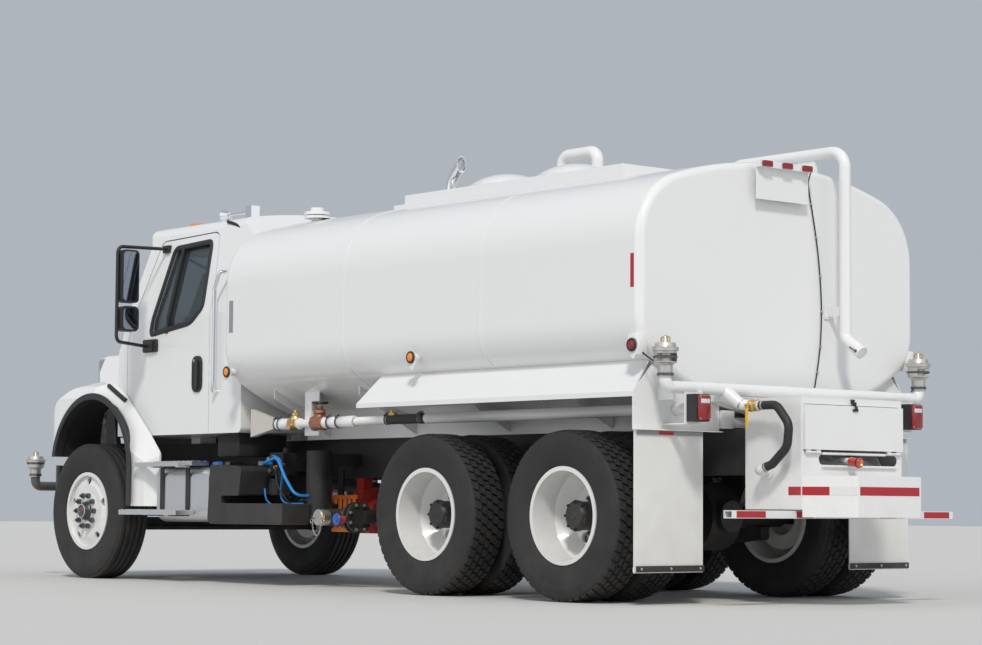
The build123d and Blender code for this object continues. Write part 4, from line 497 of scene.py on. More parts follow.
# %% The finishes themselves
FINISH = {
    "white": paint("body_white", (0.80, 0.80, 0.795), 0.24, dust=0.22),
    "wheel": paint("wheel_white", (0.78, 0.78, 0.77), 0.3, top=1.3, dust=0.35, coat=0.3),
    "frame": grained("frame_black", (0.015, 0.015, 0.017), 0.38, 0.58, 250.0, 0.1, 1.3, 0.10),
    "engine": grained("engine_grey", (0.06, 0.06, 0.065), 0.5, 0.7, 120.0, 0.25, 1.3, 0.3),
    "tyre": grained("tyre_rubber", (0.018, 0.018, 0.020), 0.62, 0.85, 300.0, 0.2, 1.3, 0.07),
    "rubber": grained("black_rubber", (0.018, 0.018, 0.019), 0.45, 0.62, 500.0, 0.15, 1.0, 0.1),
    "plastic": grained("moulded_black", (0.022, 0.022, 0.024), 0.42, 0.6, 600.0, 0.2, 1.2, 0.12),
    "inside": grained("cab_trim_grey", (0.11, 0.11, 0.12), 0.6, 0.8, 500.0, 0.2, 1.0, 0.0),
    "grille": grained("grille_grey", (0.10, 0.10, 0.11), 0.3, 0.45, 500.0, 0.08, 1.2, 0.2),
    "bumper": paint("bumper_grey", (0.06, 0.06, 0.065), 0.3, dust=0.4, coat=0.2),
    "cast": grained("cast_alloy", (0.60, 0.58, 0.54), 0.35, 0.55, 220.0, 0.3, 1.0, 0.15, 1.0),
    "steps": bare_metal("brushed_alloy", (0.72, 0.73, 0.74), 0.24, 0.42),
    "chrome": bright_metal("chrome", (0.83, 0.84, 0.86)),
    "brass": bright_metal("brass_fitting", (0.72, 0.50, 0.22), 0.2, 0.35),
    "bronze": grained("bronze_casting", (0.42, 0.20, 0.13), 0.35, 0.55, 220.0, 0.3, 1.0, 0.1, 0.8),
    "nozzle": grained("nozzle_buff", (0.55, 0.53, 0.48), 0.5, 0.7, 300.0, 0.2, 1.2, 0.2),
    "mirror": bright_metal("mirror_glass", (0.26, 0.30, 0.36), 0.02, 0.05),
    # shadow: near-black painted shade inside the wheel arch, in the handle's dish and under the cab's rear
    # corner; also the real black of the gate valve's wheel
    "shadow": grained("black_and_painted_shade", (0.012, 0.012, 0.013), 0.7, 0.9, 200.0, 0.2, 1.2, 0.15),
    "dark_steel": bare_metal("dark_steel", (0.16, 0.16, 0.17), 0.3, 0.5, 90.0),
    "steel": bare_metal("zinc_steel", (0.55, 0.55, 0.53), 0.3, 0.5, 90.0),
    "red_paint": paint("pump_red", (0.50, 0.03, 0.025), 0.3, dust=0.2),
    "orange": paint("guard_orange", (0.86, 0.20, 0.02), 0.4, dust=0.15, coat=0.1),
    "blue_hose": grained("blue_hose", (0.01, 0.22, 0.60), 0.3, 0.4, 500.0, 0.05, 1.0, 0.1),
    "blue_paint": paint("valve_blue", (0.02, 0.10, 0.42), 0.35, dust=0.1),
    "flap": grained("flap_white", (0.74, 0.74, 0.72), 0.4, 0.55, 300.0, 0.08, 1.1, 0.35),
    "red_lens": lens("red_lens", (0.26, 0.004, 0.006)),
    "amber_lens": lens("amber_lens", (0.85, 0.25, 0.02)),
    "clear_lens": lens("clear_lens", (0.62, 0.64, 0.66), 40.0),
    "lamp_glass": lens("lamp_glass", (0.24, 0.26, 0.29), 40.0),
    "red_tape": tape("red_tape", (0.45, 0.010, 0.018)),
    "white_tape": tape("white_tape", (0.80, 0.80, 0.78)),
    "grey_tape": tape("grey_strip", (0.30, 0.31, 0.33)),
    "glass": tinted_glass("window_glass"),
    "yellow": paint("lever_yellow", (0.85, 0.50, 0.02), 0.35, dust=0.05),
}
print("finishes", len(FINISH))

# %% [markdown]
# ## Finishes on the solids
# Each solid of the model takes one finish by name. Where a solid piece is later covered by a
# better one, it is still given a finish here, so nothing is left plain.

# %% Which solid takes which finish
SOLID_FINISH = {
    "frame": "frame_rails front_axle knuckle_left knuckle_right tie_rod rear_axles rear_suspension "
             "suction_pipe air_valves",
    "engine": "powertrain",
    "tyre": " ".join(n for n in nodes if n.startswith("tyre")),
    "wheel": " ".join(n for n in nodes if n.startswith("wheel")),
    "glass": "cab_glass door_glass_left door_glass_right",
    "plastic": "mirror_left mirror_right battery_box",
    "inside": "cab_interior",
    "grille": "grille",
    "bumper": "front_bumper",
    "cast": "spray_heads",
    "steps": "fuel_tank cab_steps",
    "chrome": "exhaust chrome_trim",
    "lamp_glass": "headlamps",
    "amber_lens": "lamps",
    "red_paint": "water_pump",
    "rubber": "feed_hose",
    "blue_hose": "air_line",
    "flap": "mud_flaps",
}
finish_of = {node: key for key, members in SOLID_FINISH.items() for node in members.split()}
for node, solid in nodes.items():
    solid.data.materials.clear()
    solid.data.materials.append(FINISH[finish_of.get(node, "white")])
print("white solids", len([n for n in nodes if n not in finish_of]))

# %% [markdown]
# ## Tyres
# Truck tyres are not smooth rings. The sidewall bulges, carries a raised ring above the rim, and
# steps in at the shoulder. The drive tyres have deep blocks with zigzag grooves, the steered ones
# straight ribs. The carcass is a profile turned about the axle, and the blocks are one small
# shape copied round by rotation.

# %% Tyre shape
TYRE_R = 0.52
TREAD_DEEP = 0.013
TREAD_HALF = 0.112
SIDEWALL = [(0.2855, 0.092), (0.292, 0.104), (0.305, 0.113), (0.318, 0.1155), (0.325, 0.1205),
            (0.340, 0.1225), (0.348, 0.1245), (0.380, 0.1335), (0.410, 0.1382), (0.440, 0.1382),
            (0.452, 0.1395), (0.458, 0.1370), (0.475, 0.1330), (0.492, 0.1275), (0.503, 0.1200)]


def wheel_matrix(x, y, side):
    """Places a shape turned about Z on the axle, its outer face away from the truck."""
    return placed((x, y, AXLE_Z), turn_x=-90 * side)


def add_carcass(bm, x, y, side):
    """The tyre's body, down to the bottom of its grooves."""
    base = TYRE_R - TREAD_DEEP
    profile = [(r, -h) for r, h in SIDEWALL] + [(base, -TREAD_HALF)]
    profile += [(base, TREAD_HALF)] + [(r, h) for r, h in reversed(SIDEWALL)]
    add_turned(bm, profile, wheel_matrix(x, y, side), steps=96, closed=True)


def add_ribs(bm, x, y, side):
    """Straight ribs of a steered tyre, each a low ring with sloping sides."""
    for centre, half in ((-0.094, 0.019), (-0.047, 0.017), (0.0, 0.017), (0.047, 0.017), (0.094, 0.019)):
        low, top = TYRE_R - TREAD_DEEP - 0.001, TYRE_R
        profile = [(low, centre - half), (top - 0.002, centre - half + 0.002), (top, centre - half + 0.005),
                   (top, centre + half - 0.005), (top - 0.002, centre + half - 0.002), (low, centre + half)]
        add_turned(bm, profile, wheel_matrix(x, y, side), steps=96)


def add_blocks(bm, x, y, side):
    """Blocks of a drive tyre: two shoulder rows that wrap the edge, and three staggered inner rows."""
    rows = [(-0.096, 0.040, 0.0), (-0.047, 0.036, 0.5), (0.0, 0.036, 0.0), (0.047, 0.036, 0.5),
            (0.096, 0.040, 0.0)]
    count = 52
    pitch, deep = 2 * pi * TYRE_R / count, TREAD_DEEP + 0.012
    for centre, wide, shift in rows:
        template = bmesh.ops.create_cube(bm, size=1, matrix=Matrix.Diagonal((deep, pitch * 0.72, wide, 1)))
        for vert in template["verts"]:
            vert.co.y += vert.co.z * 0.35
            vert.co.x += TYRE_R - deep / 2
            if abs(centre) > 0.09 and vert.co.z * centre > 0:
                vert.co.x -= 0.006
            vert.co.z += centre
        faces = list({f for v in template["verts"] for f in v.link_faces})
        start = template["verts"]
        for step in range(count):
            turn = Matrix.Rotation(2 * pi * (step + shift) / count, 4, "Z")
            geom = start + [e for e in {e for v in start for e in v.link_edges}] + faces
            copy = bmesh.ops.duplicate(bm, geom=geom)
            bmesh.ops.transform(bm, matrix=wheel_matrix(x, y, side) @ turn, verts=fresh_points(copy))
        bmesh.ops.delete(bm, geom=start, context="VERTS")


def make_tyre(node, body, x, rows, side, driven):
    """One wheel's tyre, or a twin pair, in place of its plain solid."""
    bm = bmesh.new()
    for y in rows:
        add_carcass(bm, x, y * side, side)
        (add_blocks if driven else add_ribs)(bm, x, y * side, side)
    piece = finished(bm, "treaded_" + node, "tyre", body)
    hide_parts(node)
    return piece


tyre_faces = 0
for label, side in SIDES:
    made = [make_tyre("tyre_front_" + label, "front_wheel_" + label, FRONT_AXLE_X, (FRONT_Y,), side, False)]
    for axle, x in (("mid", MID_X), ("rear", REAR_X)):
        made.append(make_tyre(f"tyres_{axle}_{label}", f"{axle}_wheels_{label}", x, TWIN_Y, side, True))
    tyre_faces += sum(len(piece.data.polygons) for piece in made)
print("tyre faces", tyre_faces)

# %% [markdown]
# ## Hubs and nuts
# The discs are held by ten nuts on a 285 mm circle. The steered hub is a dark drum with a polished
# oil cap, and the drive hub ends in a flange with its own ring of bolts. Each is turned or copied
# round, like the real parts on a lathe.

# %% Hubs
def add_nut_ring(bm, x, y, side, radius, count, across, height, stud, mat=0):
    """A ring of nuts facing outwards."""
    for a, b in around(count, radius):
        add_nut(bm, (x + a, y, AXLE_Z + b), (0, side, 0), across, height, stud, mat)


for label, side in SIDES:
    face_y = side * (FRONT_Y + 0.108)
    bm = bmesh.new()
    add_nut_ring(bm, FRONT_AXLE_X, face_y + side * 0.008, side, 0.1225, 10, 0.036, 0.028, 0.014, 0)
    cap = [(0.0, 0.0665), (0.030, 0.0665), (0.034, 0.0625), (0.046, 0.0620), (0.050, 0.058), (0.056, 0.057),
           (0.0585, 0.050), (0.060, 0.030), (0.066, 0.020), (0.074, 0.018), (0.076, 0.0125)]
    add_turned(bm, cap, wheel_matrix(FRONT_AXLE_X, face_y, side), steps=40, mat=1)
    add_turned(bm, [(0.0, 0.0685), (0.017, 0.0680), (0.020, 0.0662)],
               wheel_matrix(FRONT_AXLE_X, face_y, side), steps=24, mat=2)
    add_nut_ring(bm, FRONT_AXLE_X, face_y + side * 0.0185, side, 0.0685, 6, 0.013, 0.007, 0.0, 0)
    finished(bm, "front_hub_" + label, "dark_steel dark_steel red_lens", "front_wheel_" + label)
    for axle, x in (("mid", MID_X), ("rear", REAR_X)):
        twin_y = side * (sum(TWIN_Y) / 2)
        bm = bmesh.new()
        add_nut_ring(bm, x, twin_y + side * 0.022, side, 0.112, 10, 0.030, 0.022, 0.015, 0)
        flange = [(0.0, 0.2015), (0.020, 0.2015), (0.024, 0.198), (0.070, 0.1965), (0.0745, 0.192),
                  (0.0835, 0.1800), (0.092, 0.178), (0.0945, 0.172), (0.0945, 0.160), (0.0875, 0.158),
                  (0.0875, 0.060), (0.098, 0.036), (0.104, 0.0225)]
        add_turned(bm, flange, wheel_matrix(x, twin_y, side), steps=40, mat=1)
        add_nut_ring(bm, x, twin_y + side * 0.179, side, 0.0865, 8, 0.016, 0.011, 0.006, 1)
        finished(bm, f"{axle}_hub_{label}", "dark_steel frame", f"{axle}_wheels_{label}")
print("hubs", 6)

# %% [markdown]
# ## Welds on the tank
# The barrel is rolled from three sheets, and each joint shows as a slim raised bead. A bead must
# follow the tank's skin exactly, so it is cut from a copy of the solid's own mesh: two planes
# leave a narrow ring of skin, which is then given a small thickness outwards.

# %% Weld beads
TANK_MIDDLE_Z = 1.9


def skin_ring(node, x0, x1, thickness, name):
    """A ring of a solid's skin between two planes across the truck, raised by the thickness."""
    bm = bmesh.new()
    bm.from_mesh(nodes[node].data)
    bmesh.ops.remove_doubles(bm, verts=bm.verts, dist=1e-5)
    for x, normal in ((x0, (-1, 0, 0)), (x1, (1, 0, 0))):
        geom = list(bm.verts) + list(bm.edges) + list(bm.faces)
        bmesh.ops.bisect_plane(bm, geom=geom, plane_co=(x, 0, 0), plane_no=normal, clear_outer=True)
    bmesh.ops.recalc_face_normals(bm, faces=bm.faces)
    for vert in bm.verts:
        outward = Vector((0, vert.co.y, vert.co.z - TANK_MIDDLE_Z))
        vert.co += outward.normalized() * 0.0002
    bmesh.ops.solidify(bm, geom=list(bm.faces), thickness=-thickness)
    return finished(bm, name, "white")


WELD_X = (FRONT_AXLE_X - 3.40, FRONT_AXLE_X - 4.84)
WELD_HALF, WELD_HIGH = 0.006, 0.0034
for index, x in enumerate(WELD_X):
    ring = skin_ring("water_tank", x - WELD_HALF, x + WELD_HALF, WELD_HIGH, f"tank_weld_{index}")
print("weld faces", len(ring.data.polygons))

# %% [markdown]
# ## Side marker lamps
# Each round marker sits in a black rubber ring on a white plate shaped like a drop, which leans
# out from the tank so that the lamp faces straight to the side. The plate is a turned half disc
# and a tapering tail, made as one extruded outline.

# %% Marker lamps
MARKERS = ((-2.036, 1.521, "amber_lens"), (-4.160, 1.536, "amber_lens"), (-6.250, 1.522, "red_lens"))
MARKER_Y = 1.238
DROP_THICK = 0.003


def add_drop_plate(bm, centre, radius, tail):
    """A drop-shaped plate: a round end, and a tail that runs down towards the truck's middle."""
    outline = [bm.verts.new((radius * cos(a), 0, radius * sin(a))) for a in
               [pi * step / 10 for step in range(0, 11)]]
    outline += [bm.verts.new(p) for p in ((-radius, 0, -radius * 0.8), (-radius * 0.2, 0, -tail),
                                          (radius, 0, -radius))]
    face = bm.faces.new(outline)
    grown = bmesh.ops.extrude_face_region(bm, geom=[face])
    fresh = fresh_points(grown)
    bmesh.ops.translate(bm, vec=(0, DROP_THICK, 0), verts=fresh)
    bmesh.ops.translate(bm, vec=centre, verts=outline + fresh)


for label, side in SIDES:
    for index, (x, z, colour) in enumerate(MARKERS):
        at_x = FRONT_AXLE_X + x
        bm = bmesh.new()
        face_y = side * MARKER_Y
        add_drop_plate(bm, (at_x, face_y - side * 0.010 - (DROP_THICK if side > 0 else 0), z), 0.046, 0.085)
        ring = [(0.036, 0.000), (0.040, 0.004), (0.040, 0.010), (0.036, 0.015), (0.031, 0.015)]
        turn = placed((at_x, face_y - side * 0.009, z), turn_x=-90 * side)
        add_turned(bm, ring, turn, steps=32, mat=1)
        dome = [(0.0, 0.021), (0.012, 0.020), (0.022, 0.0175), (0.029, 0.013), (0.032, 0.006)]
        add_turned(bm, dome, turn, steps=32, mat=2)
        finished(bm, f"marker_{index}_{label}", "white rubber " + colour)
print("side markers", 2 * len(MARKERS))

# %% [markdown]
# ## Tape and strips on the tank
# Short strips of reflective tape stand upright near both ends of the barrel. Tape is thin, so it
# is a slim block a fraction of a millimetre proud of the steel.

# %% Upright tape strips
bm = bmesh.new()
for side in (1, -1):
    near, far = both(side, TANK_SIDE_Y - 0.0005, TANK_SIDE_Y + 0.0008)
    add_block(bm, (TANK_REAR_X + 0.048, near, 1.863), (TANK_REAR_X + 0.078, far, 2.063))
    add_block(bm, (TANK_FRONT_X - 0.115, near, 1.80), (TANK_FRONT_X - 0.065, far, 2.03), mat=1)
finished(bm, "tank_strips", "red_tape grey_tape", smooth=False)

# %% [markdown]
# ## Rear lamps
# The tail lamp is a red box lens with a clear window near its top, screwed at four corners to a
# black housing. The housing is part of the model, so only the lens, its rim and the screws are
# added, each set against the housing's rear face.

# %% Tail lamps
LAMP_Y, LAMP_Z = 0.945, 1.154
LAMP_FACE_X = FRONT_AXLE_X - 6.545
for label, side in SIDES:
    y, x = side * LAMP_Y, LAMP_FACE_X
    bm = bmesh.new()
    for x0, x1, half, z0, z1, bevel, mat in ((-0.006, 0.002, 0.054, -0.079, 0.079, 0.003, 1),
                                             (-0.024, -0.004, 0.050, -0.075, 0.075, 0.010, 0),
                                             (-0.0262, -0.022, 0.036, 0.026, 0.052, 0.001, 2)):
        add_block(bm, (x + x0, y - half, LAMP_Z + z0), (x + x1, y + half, LAMP_Z + z1), bevel, mat)
    for dy in (-0.040, 0.040):
        for dz in (-0.064, 0.064):
            add_rod(bm, (x - 0.024, y + dy, LAMP_Z + dz), (x - 0.0265, y + dy, LAMP_Z + dz), 0.005,
                    sides=10, mat=3)
    finished(bm, "tail_lamp_" + label, "red_lens plastic clear_lens steel")

# %% [markdown]
# ## Rear tape
# Red and white tape runs round the bumper and along the under-ride bar. Each length lies on one
# flat face, so it is a thin plank turned to that face's direction.

# %% Tape on the bumper and the bar
TAPE_THICK = 0.0012


def add_plank(bm, start, end, z0, z1, mat):
    """A thin upright plank along a line seen from above, centred on the face it lies on."""
    a, b = Vector((*start, 0)), Vector((*end, 0))
    along = b - a
    turn = Matrix.Rotation(atan2(along.y, along.x), 4, "Z")
    centre = Vector(((a.x + b.x) / 2, (a.y + b.y) / 2, (z0 + z1) / 2))
    made = add_cube(bm, centre, (along.length, TAPE_THICK * 2, z1 - z0), turn)
    give_slot(made["verts"], mat)


CABINET_X = FRONT_AXLE_X - 6.870
BUMPER_X = FRONT_AXLE_X - 7.150
SIDE_FOLD, REAR_FOLD = (CABINET_X, 0.450), (BUMPER_X, 0.288)
HALF_FOLD = ((SIDE_FOLD[0] + REAR_FOLD[0]) / 2, (SIDE_FOLD[1] + REAR_FOLD[1]) / 2)
TAPE_LOW, TAPE_HIGH = 0.650, 0.700
bm = bmesh.new()
for start, end, mat in (((CABINET_X + 0.10, 0.460), (CABINET_X + 0.002, 0.460), 0),
                        (SIDE_FOLD, HALF_FOLD, 0), (HALF_FOLD, REAR_FOLD, 1),
                        ((BUMPER_X, 0.262), (BUMPER_X, -0.262), 0)):
    add_plank(bm, start, end, TAPE_LOW, TAPE_HIGH, mat)
UNDER_X = FRONT_AXLE_X - 6.815
FLAP_FACE_X = FRONT_AXLE_X - 6.2585
for side in (1, -1):
    for y0, y1, mat in ((0.940, 0.700, 0), (0.700, 0.440, 1), (0.440, 0.300, 0)):
        add_plank(bm, (UNDER_X, side * y0), (UNDER_X, side * y1), 0.518, 0.556, mat)
    for y0, y1, mat in ((0.66, 0.90, 2), (0.90, 1.02, 0), (1.02, 1.19, 2)):
        add_plank(bm, (FLAP_FACE_X, side * y0), (FLAP_FACE_X, side * y1), 1.000, 1.0225, mat)
finished(bm, "rear_tape", "red_tape white_tape grey_tape", smooth=False)

# %% [markdown]
# ## Hose cabinet
# A fire hose leaves through the long slot with a red nozzle on its end. The slot has bright
# rollers above and below. The door's edge has a rubber pull latch. The reel and the hose inside
# are solids of the model, seen through the slot as dark shapes.

# %% Nozzle and latch
bm = bmesh.new()
NOZZLE_Y, NOZZLE_Z = 0.060, 0.853
nozzle_turn = placed((CABINET_X - 0.020, NOZZLE_Y, NOZZLE_Z), turn_y=-97)
grip = [(0.0195, -0.002), (0.0215, 0.0), (0.0225, 0.008), (0.0205, 0.013), (0.0275, 0.018), (0.0285, 0.030),
        (0.0275, 0.042), (0.0255, 0.050), (0.0265, 0.060), (0.0295, 0.068), (0.0300, 0.084),
        (0.0270, 0.0875), (0.018, 0.0875)]
add_turned(bm, grip, nozzle_turn, steps=32)
add_turned(bm, [(0.018, 0.0876), (0.012, 0.078), (0.0, 0.078)], nozzle_turn, steps=32, mat=1)
add_turned(bm, [(0.0302, 0.066), (0.0312, 0.068), (0.0312, 0.074), (0.0302, 0.076)], nozzle_turn, steps=32,
           mat=2)
add_turned(bm, [(0.0, 0.086), (0.006, 0.086), (0.007, 0.079)], nozzle_turn, steps=16, mat=1)
finished(bm, "hose_nozzle", "red_paint brass rubber")

bm = bmesh.new()
LATCH_Y = 0.015
latch_x = FRONT_AXLE_X - 6.894
add_block(bm, (latch_x - 0.010, LATCH_Y - 0.022, 1.150), (latch_x, LATCH_Y + 0.022, 1.164), 0.003)
add_block(bm, (latch_x - 0.016, LATCH_Y - 0.009, 1.160), (latch_x - 0.006, LATCH_Y + 0.009, 1.180), 0.003)
finished(bm, "cabinet_latch_keeper", "rubber", "cabinet_door")
bm = bmesh.new()
add_block(bm, (CABINET_X - 0.012, LATCH_Y - 0.014, 1.196), (CABINET_X, LATCH_Y + 0.014, 1.222), 0.003)
add_block(bm, (CABINET_X - 0.030, LATCH_Y - 0.010, 1.180), (CABINET_X - 0.010, LATCH_Y + 0.010, 1.206),
          0.004)
finished(bm, "cabinet_latch_strap", "rubber")

# %% [markdown]
# ## Valve and clamps at the hose
# A brass ball valve with a yellow lever feeds the short black hose, and a steel band clamps the
# hose at both ends. Each band is turned about the hose's own direction there.

# %% Ball valve and hose clamps
HOSE_Y = 0.555
VALVE_AT = spot(-6.575, 0.558, 1.178)
bm = bmesh.new()
valve_turn = placed(VALVE_AT, turn_y=-90)
body_line = [(0.0305, -0.048), (0.035, -0.046), (0.035, -0.030), (0.031, -0.026), (0.0355, -0.018),
             (0.0385, 0.0), (0.0355, 0.018), (0.031, 0.026), (0.035, 0.030), (0.035, 0.046),
             (0.0305, 0.048)]
add_turned(bm, body_line, valve_turn, steps=28)
add_rod(bm, VALVE_AT + Vector((0, 0.028, 0)), VALVE_AT + Vector((0, 0.052, 0)), 0.011, sides=16)
add_rod(bm, VALVE_AT + Vector((0, 0.046, 0)), VALVE_AT + Vector((0, 0.060, 0)), 0.010, sides=6, mat=2)
add_block(bm, VALVE_AT + Vector((-0.011, 0.0475, -0.130)), VALVE_AT + Vector((0.011, 0.0525, 0.010)), 0.002,
          1)
finished(bm, "hose_valve", "brass yellow steel")

bm = bmesh.new()
for start, end in ((spot(-6.650, HOSE_Y, 1.178), spot(-6.668, HOSE_Y, 1.178)),
                   (spot(-6.677, HOSE_Y, 0.8135), spot(-6.694, HOSE_Y, 0.8188))):
    turn = aimed(start, end - start)
    add_turned(bm, [(0.0255, 0.0), (0.0275, 0.001), (0.0275, 0.012), (0.0255, 0.013)], turn, steps=32)
    add_rod(bm, turn @ Vector((0.029, -0.012, 0.0065)), turn @ Vector((0.029, 0.012, 0.0065)), 0.005,
            sides=10)
finished(bm, "hose_clamps", "steel")

# %% [markdown]
# ## Colours by place
# Some solids join parts of several finishes, such as a pipe run with a bronze valve in it. Their
# faces are sorted by where they lie, which keeps the solid's shape untouched. A ray cast sideways
# at a solid tells where its surface is, for the pieces that are laid on it.

# %% Sorting faces, and finding a surface
def tint(node, rule, *keys):
    """Gives a solid's faces one of several finishes: rule(centre, normal) returns an index."""
    mesh = nodes[node].data
    for key in keys:
        mesh.materials.append(FINISH[key])
    counts = [0] * (len(keys) + 1)
    for polygon in mesh.polygons:
        polygon.material_index = rule(polygon.center, polygon.normal)
        counts[polygon.material_index] += 1
    print(node, "faces by finish", counts)


def ray_tree(node):
    """A search tree of a solid's mesh for ray casts."""
    bm = bmesh.new()
    bm.from_mesh(nodes[node].data)
    tree = BVHTree.FromBMesh(bm)
    bm.free()
    return tree


def side_hit(tree, x, z, side):
    """Where a ray from the truck's side meets the solid."""
    return tree.ray_cast(Vector((x, side * 3, z)), Vector((0, -side, 0)))[0]


def arch_rule(centre, normal):
    """The wheel arch's inside, and the walls it is cut through, which take near-black painted shade."""
    along, limit = abs(centre.x - ARCH_X), ARCH_R + 0.008
    inside = sqrt(along ** 2 + (centre.z - ARCH_Z) ** 2) < limit or (centre.z < ARCH_Z and along < limit)
    return 1 if inside and abs(centre.y) < FENDER_FACE - 0.005 else 0


def lamp_rule(centre, normal):
    """The roof's lamps stay amber, the side ones are white and the tail lamps' housings black."""
    if centre.x < FRONT_AXLE_X - 6.40:
        return 1
    if centre.x < FRONT_AXLE_X - 2:
        return 3
    return 0


def pipe_rule(centre, normal):
    """The fan nozzle, the bronze gate valve with its stem and wheel, and the brass ball valve."""
    x = centre.x - FRONT_AXLE_X
    if x > -2.336:
        return 1
    if -2.902 < x < -2.798:
        return 2 if centre.z < 1.20 else (3 if centre.z < 1.27 else 4)
    if -2.592 < x < -2.528 or (-2.58 < x < -2.54 and centre.z > 1.19):
        return 3
    return 0


def step_rule(centre, normal):
    """The dark hangers between the treads."""
    return 1 if 0.54 < centre.z < 0.845 or centre.z < 0.495 else 0


def suction_rule(centre, normal):
    """The bright cap end of the suction pipe."""
    return 1 if centre.y > 0.898 and centre.x < FRONT_AXLE_X - 2.70 else 0


def divider_rule(centre, normal):
    """The leaning post between the door's window and its quarter light."""
    x, z = centre.x - FRONT_AXLE_X, centre.z
    return 1 if 1.870 < z < 2.505 and abs(x + 0.918 + (z - 1.86) * 0.112) < 0.024 else 0


ARCH_X, ARCH_Z, ARCH_R = FRONT_AXLE_X - 0.065, 0.840, 0.550
FENDER_FACE = 1.160
# The hood's faces inside the wheel arch are painted shade.
tint("hood", arch_rule, "shadow")
tint("lamps", lamp_rule, "plastic", "red_lens", "white")
tint("side_pipework", pipe_rule, "nozzle", "bronze", "brass", "shadow")
tint("cab_steps", step_rule, "frame")
tint("suction_pipe", suction_rule, "steel")
for label, side in SIDES:
    tint("door_" + label, divider_rule, "rubber")

# %% [markdown]
# ## Rubber round the windows
# Window and windscreen rubber is a soft line that follows the opening's rounded corners. Three
# control points at each corner give a smooth bend between straight runs. The line is made flat,
# pressed to less than half its thickness, and then laid on the leaning surface.

# %% Laid rubber lines
PRESS = 0.45


def corner_path(corners):
    """Control points in a plane: each corner (a, b, r) becomes three points."""
    path = []
    count = len(corners)
    for index, (a, b, r) in enumerate(corners):
        here = Vector((a, b))
        before = Vector(corners[index - 1][:2])
        after = Vector(corners[(index + 1) % count][:2])
        path += [here + (before - here).normalized() * r, here, here + (after - here).normalized() * r]
    return path


def laid_line(name, points, radius, axis, place, body="chassis", cyclic=True):
    """A pressed rubber line. Its points have 0 on the axis; place(co) gives the surface there."""
    piece = tube_along(points, radius, name, body=body, sides=3, cyclic=cyclic)
    for vert in piece.data.vertices:
        vert.co[axis] = vert.co[axis] * PRESS + place(vert.co)


def cab_side_y(z):
    """How far out the cab's side is: upright below the waist, leaning in above it."""
    return 1.03 if z < 1.98 else 1.03 - (z - 1.98) * 0.125 / 0.70


def screen_x(z):
    """Where the leaning windscreen is at a height."""
    return FRONT_AXLE_X - 0.280 - (z - 1.80) * 0.260 / 0.76


WINDOW = [(-0.690, 1.862, 0.08), (-0.880, 2.515, 0.09), (-1.375, 2.535, 0.10), (-1.390, 2.030, 0.10),
          (-1.240, 1.925, 0.12)]
SCREEN = [(-0.840, 1.840, 0.10), (0.840, 1.840, 0.10), (0.760, 2.530, 0.13), (-0.760, 2.530, 0.13)]
for label, side in SIDES:
    def on_side(co, side=side):
        return side * cab_side_y(co.z)

    ring = [(FRONT_AXLE_X + a.x, 0, a.y) for a in corner_path(WINDOW)]
    laid_line("window_rubber_" + label, ring, 0.021, 1, on_side, "door_" + label)
    bar = [(FRONT_AXLE_X - 0.918, 0, 1.86), (FRONT_AXLE_X - 0.955, 0, 2.19),
           (FRONT_AXLE_X - 0.992, 0, 2.52)]
    laid_line("window_bar_" + label, bar, 0.017, 1, on_side, "door_" + label, cyclic=False)
ring = [(0, a.x, a.y) for a in corner_path(SCREEN)]
laid_line("screen_rubber", ring, 0.024, 0, lambda co: screen_x(co.z))

# %% [markdown]
# ## Door handles, mirror faces and feet
# The handle is a black oval dish with an upright pull in it and a small round lock above. Each
# mirror head has a bright glass let into its rear face.

# %% Handles and mirror glass
HANDLE_X = -1.350
MIRROR_Y = 1.310


def add_plate(bm, low, high, radius, axis, mat=0):
    """A block whose edges along one axis are rounded, like a pad."""
    low, high = Vector(low), Vector(high)
    made = add_cube(bm, (low + high) / 2, high - low)
    faces = {f for v in made["verts"] for f in v.link_faces}
    edges = [e for e in {e for v in made["verts"] for e in v.link_edges}
             if abs((e.verts[0].co - e.verts[1].co).normalized()[axis]) > 0.99]
    done = bmesh.ops.bevel(bm, geom=edges, offset=radius, affect="EDGES", segments=6, profile=0.5)
    for face in {f for v in done["verts"] for f in v.link_faces} | {f for f in faces if f.is_valid}:
        face.material_index = mat


for label, side in SIDES:
    door = "door_" + label
    bm = bmesh.new()
    # The middle plate, sunk in the dish, is near-black painted shade.
    for low, high, radius, mat in (((-0.065, 1.0295, 1.404), (0.065, 1.041, 1.673), 0.055, 0),
                                   ((-0.050, 1.040, 1.420), (0.050, 1.043, 1.630), 0.045, 1),
                                   ((-0.030, 1.040, 1.425), (0.012, 1.056, 1.640), 0.020, 0)):
        low, high = spot(HANDLE_X + low[0], *low[1:]), spot(HANDLE_X + high[0], *high[1:])
        add_plate(bm, *mirrored(side, low, high), radius, 1, mat)
    lock_x = HANDLE_X + 0.030
    add_rod(bm, spot(lock_x, side * 1.040, 1.638), spot(lock_x, side * 1.045, 1.638), 0.012, sides=20,
            mat=2)
    finished(bm, "door_handle_" + label, "plastic shadow steel", door)
    bm = bmesh.new()
    for z, face, half_y, half_z in ((2.283, -0.847, 0.063, 0.186), (1.962, -0.852, 0.061, 0.080)):
        low, high = spot(face - 0.002, MIRROR_Y - half_y,
                         z - half_z), spot(face + 0.001, MIRROR_Y + half_y, z + half_z)
        add_plate(bm, *mirrored(side, low, high), 0.030, 0)
    finished(bm, "mirror_faces_" + label, "mirror", door)
    bm = bmesh.new()
    add_plate(bm, *mirrored(side, spot(-0.802, 1.0295, 1.727), spot(-0.608, 1.046, 1.825)), 0.016, 1)
    for x in (-0.780, -0.630):
        add_rod(bm, spot(x, side * 1.045, 1.776), spot(x, side * 1.050, 1.776), 0.009, sides=6, mat=1)
    finished(bm, "mirror_foot_" + label, "plastic dark_steel", door)

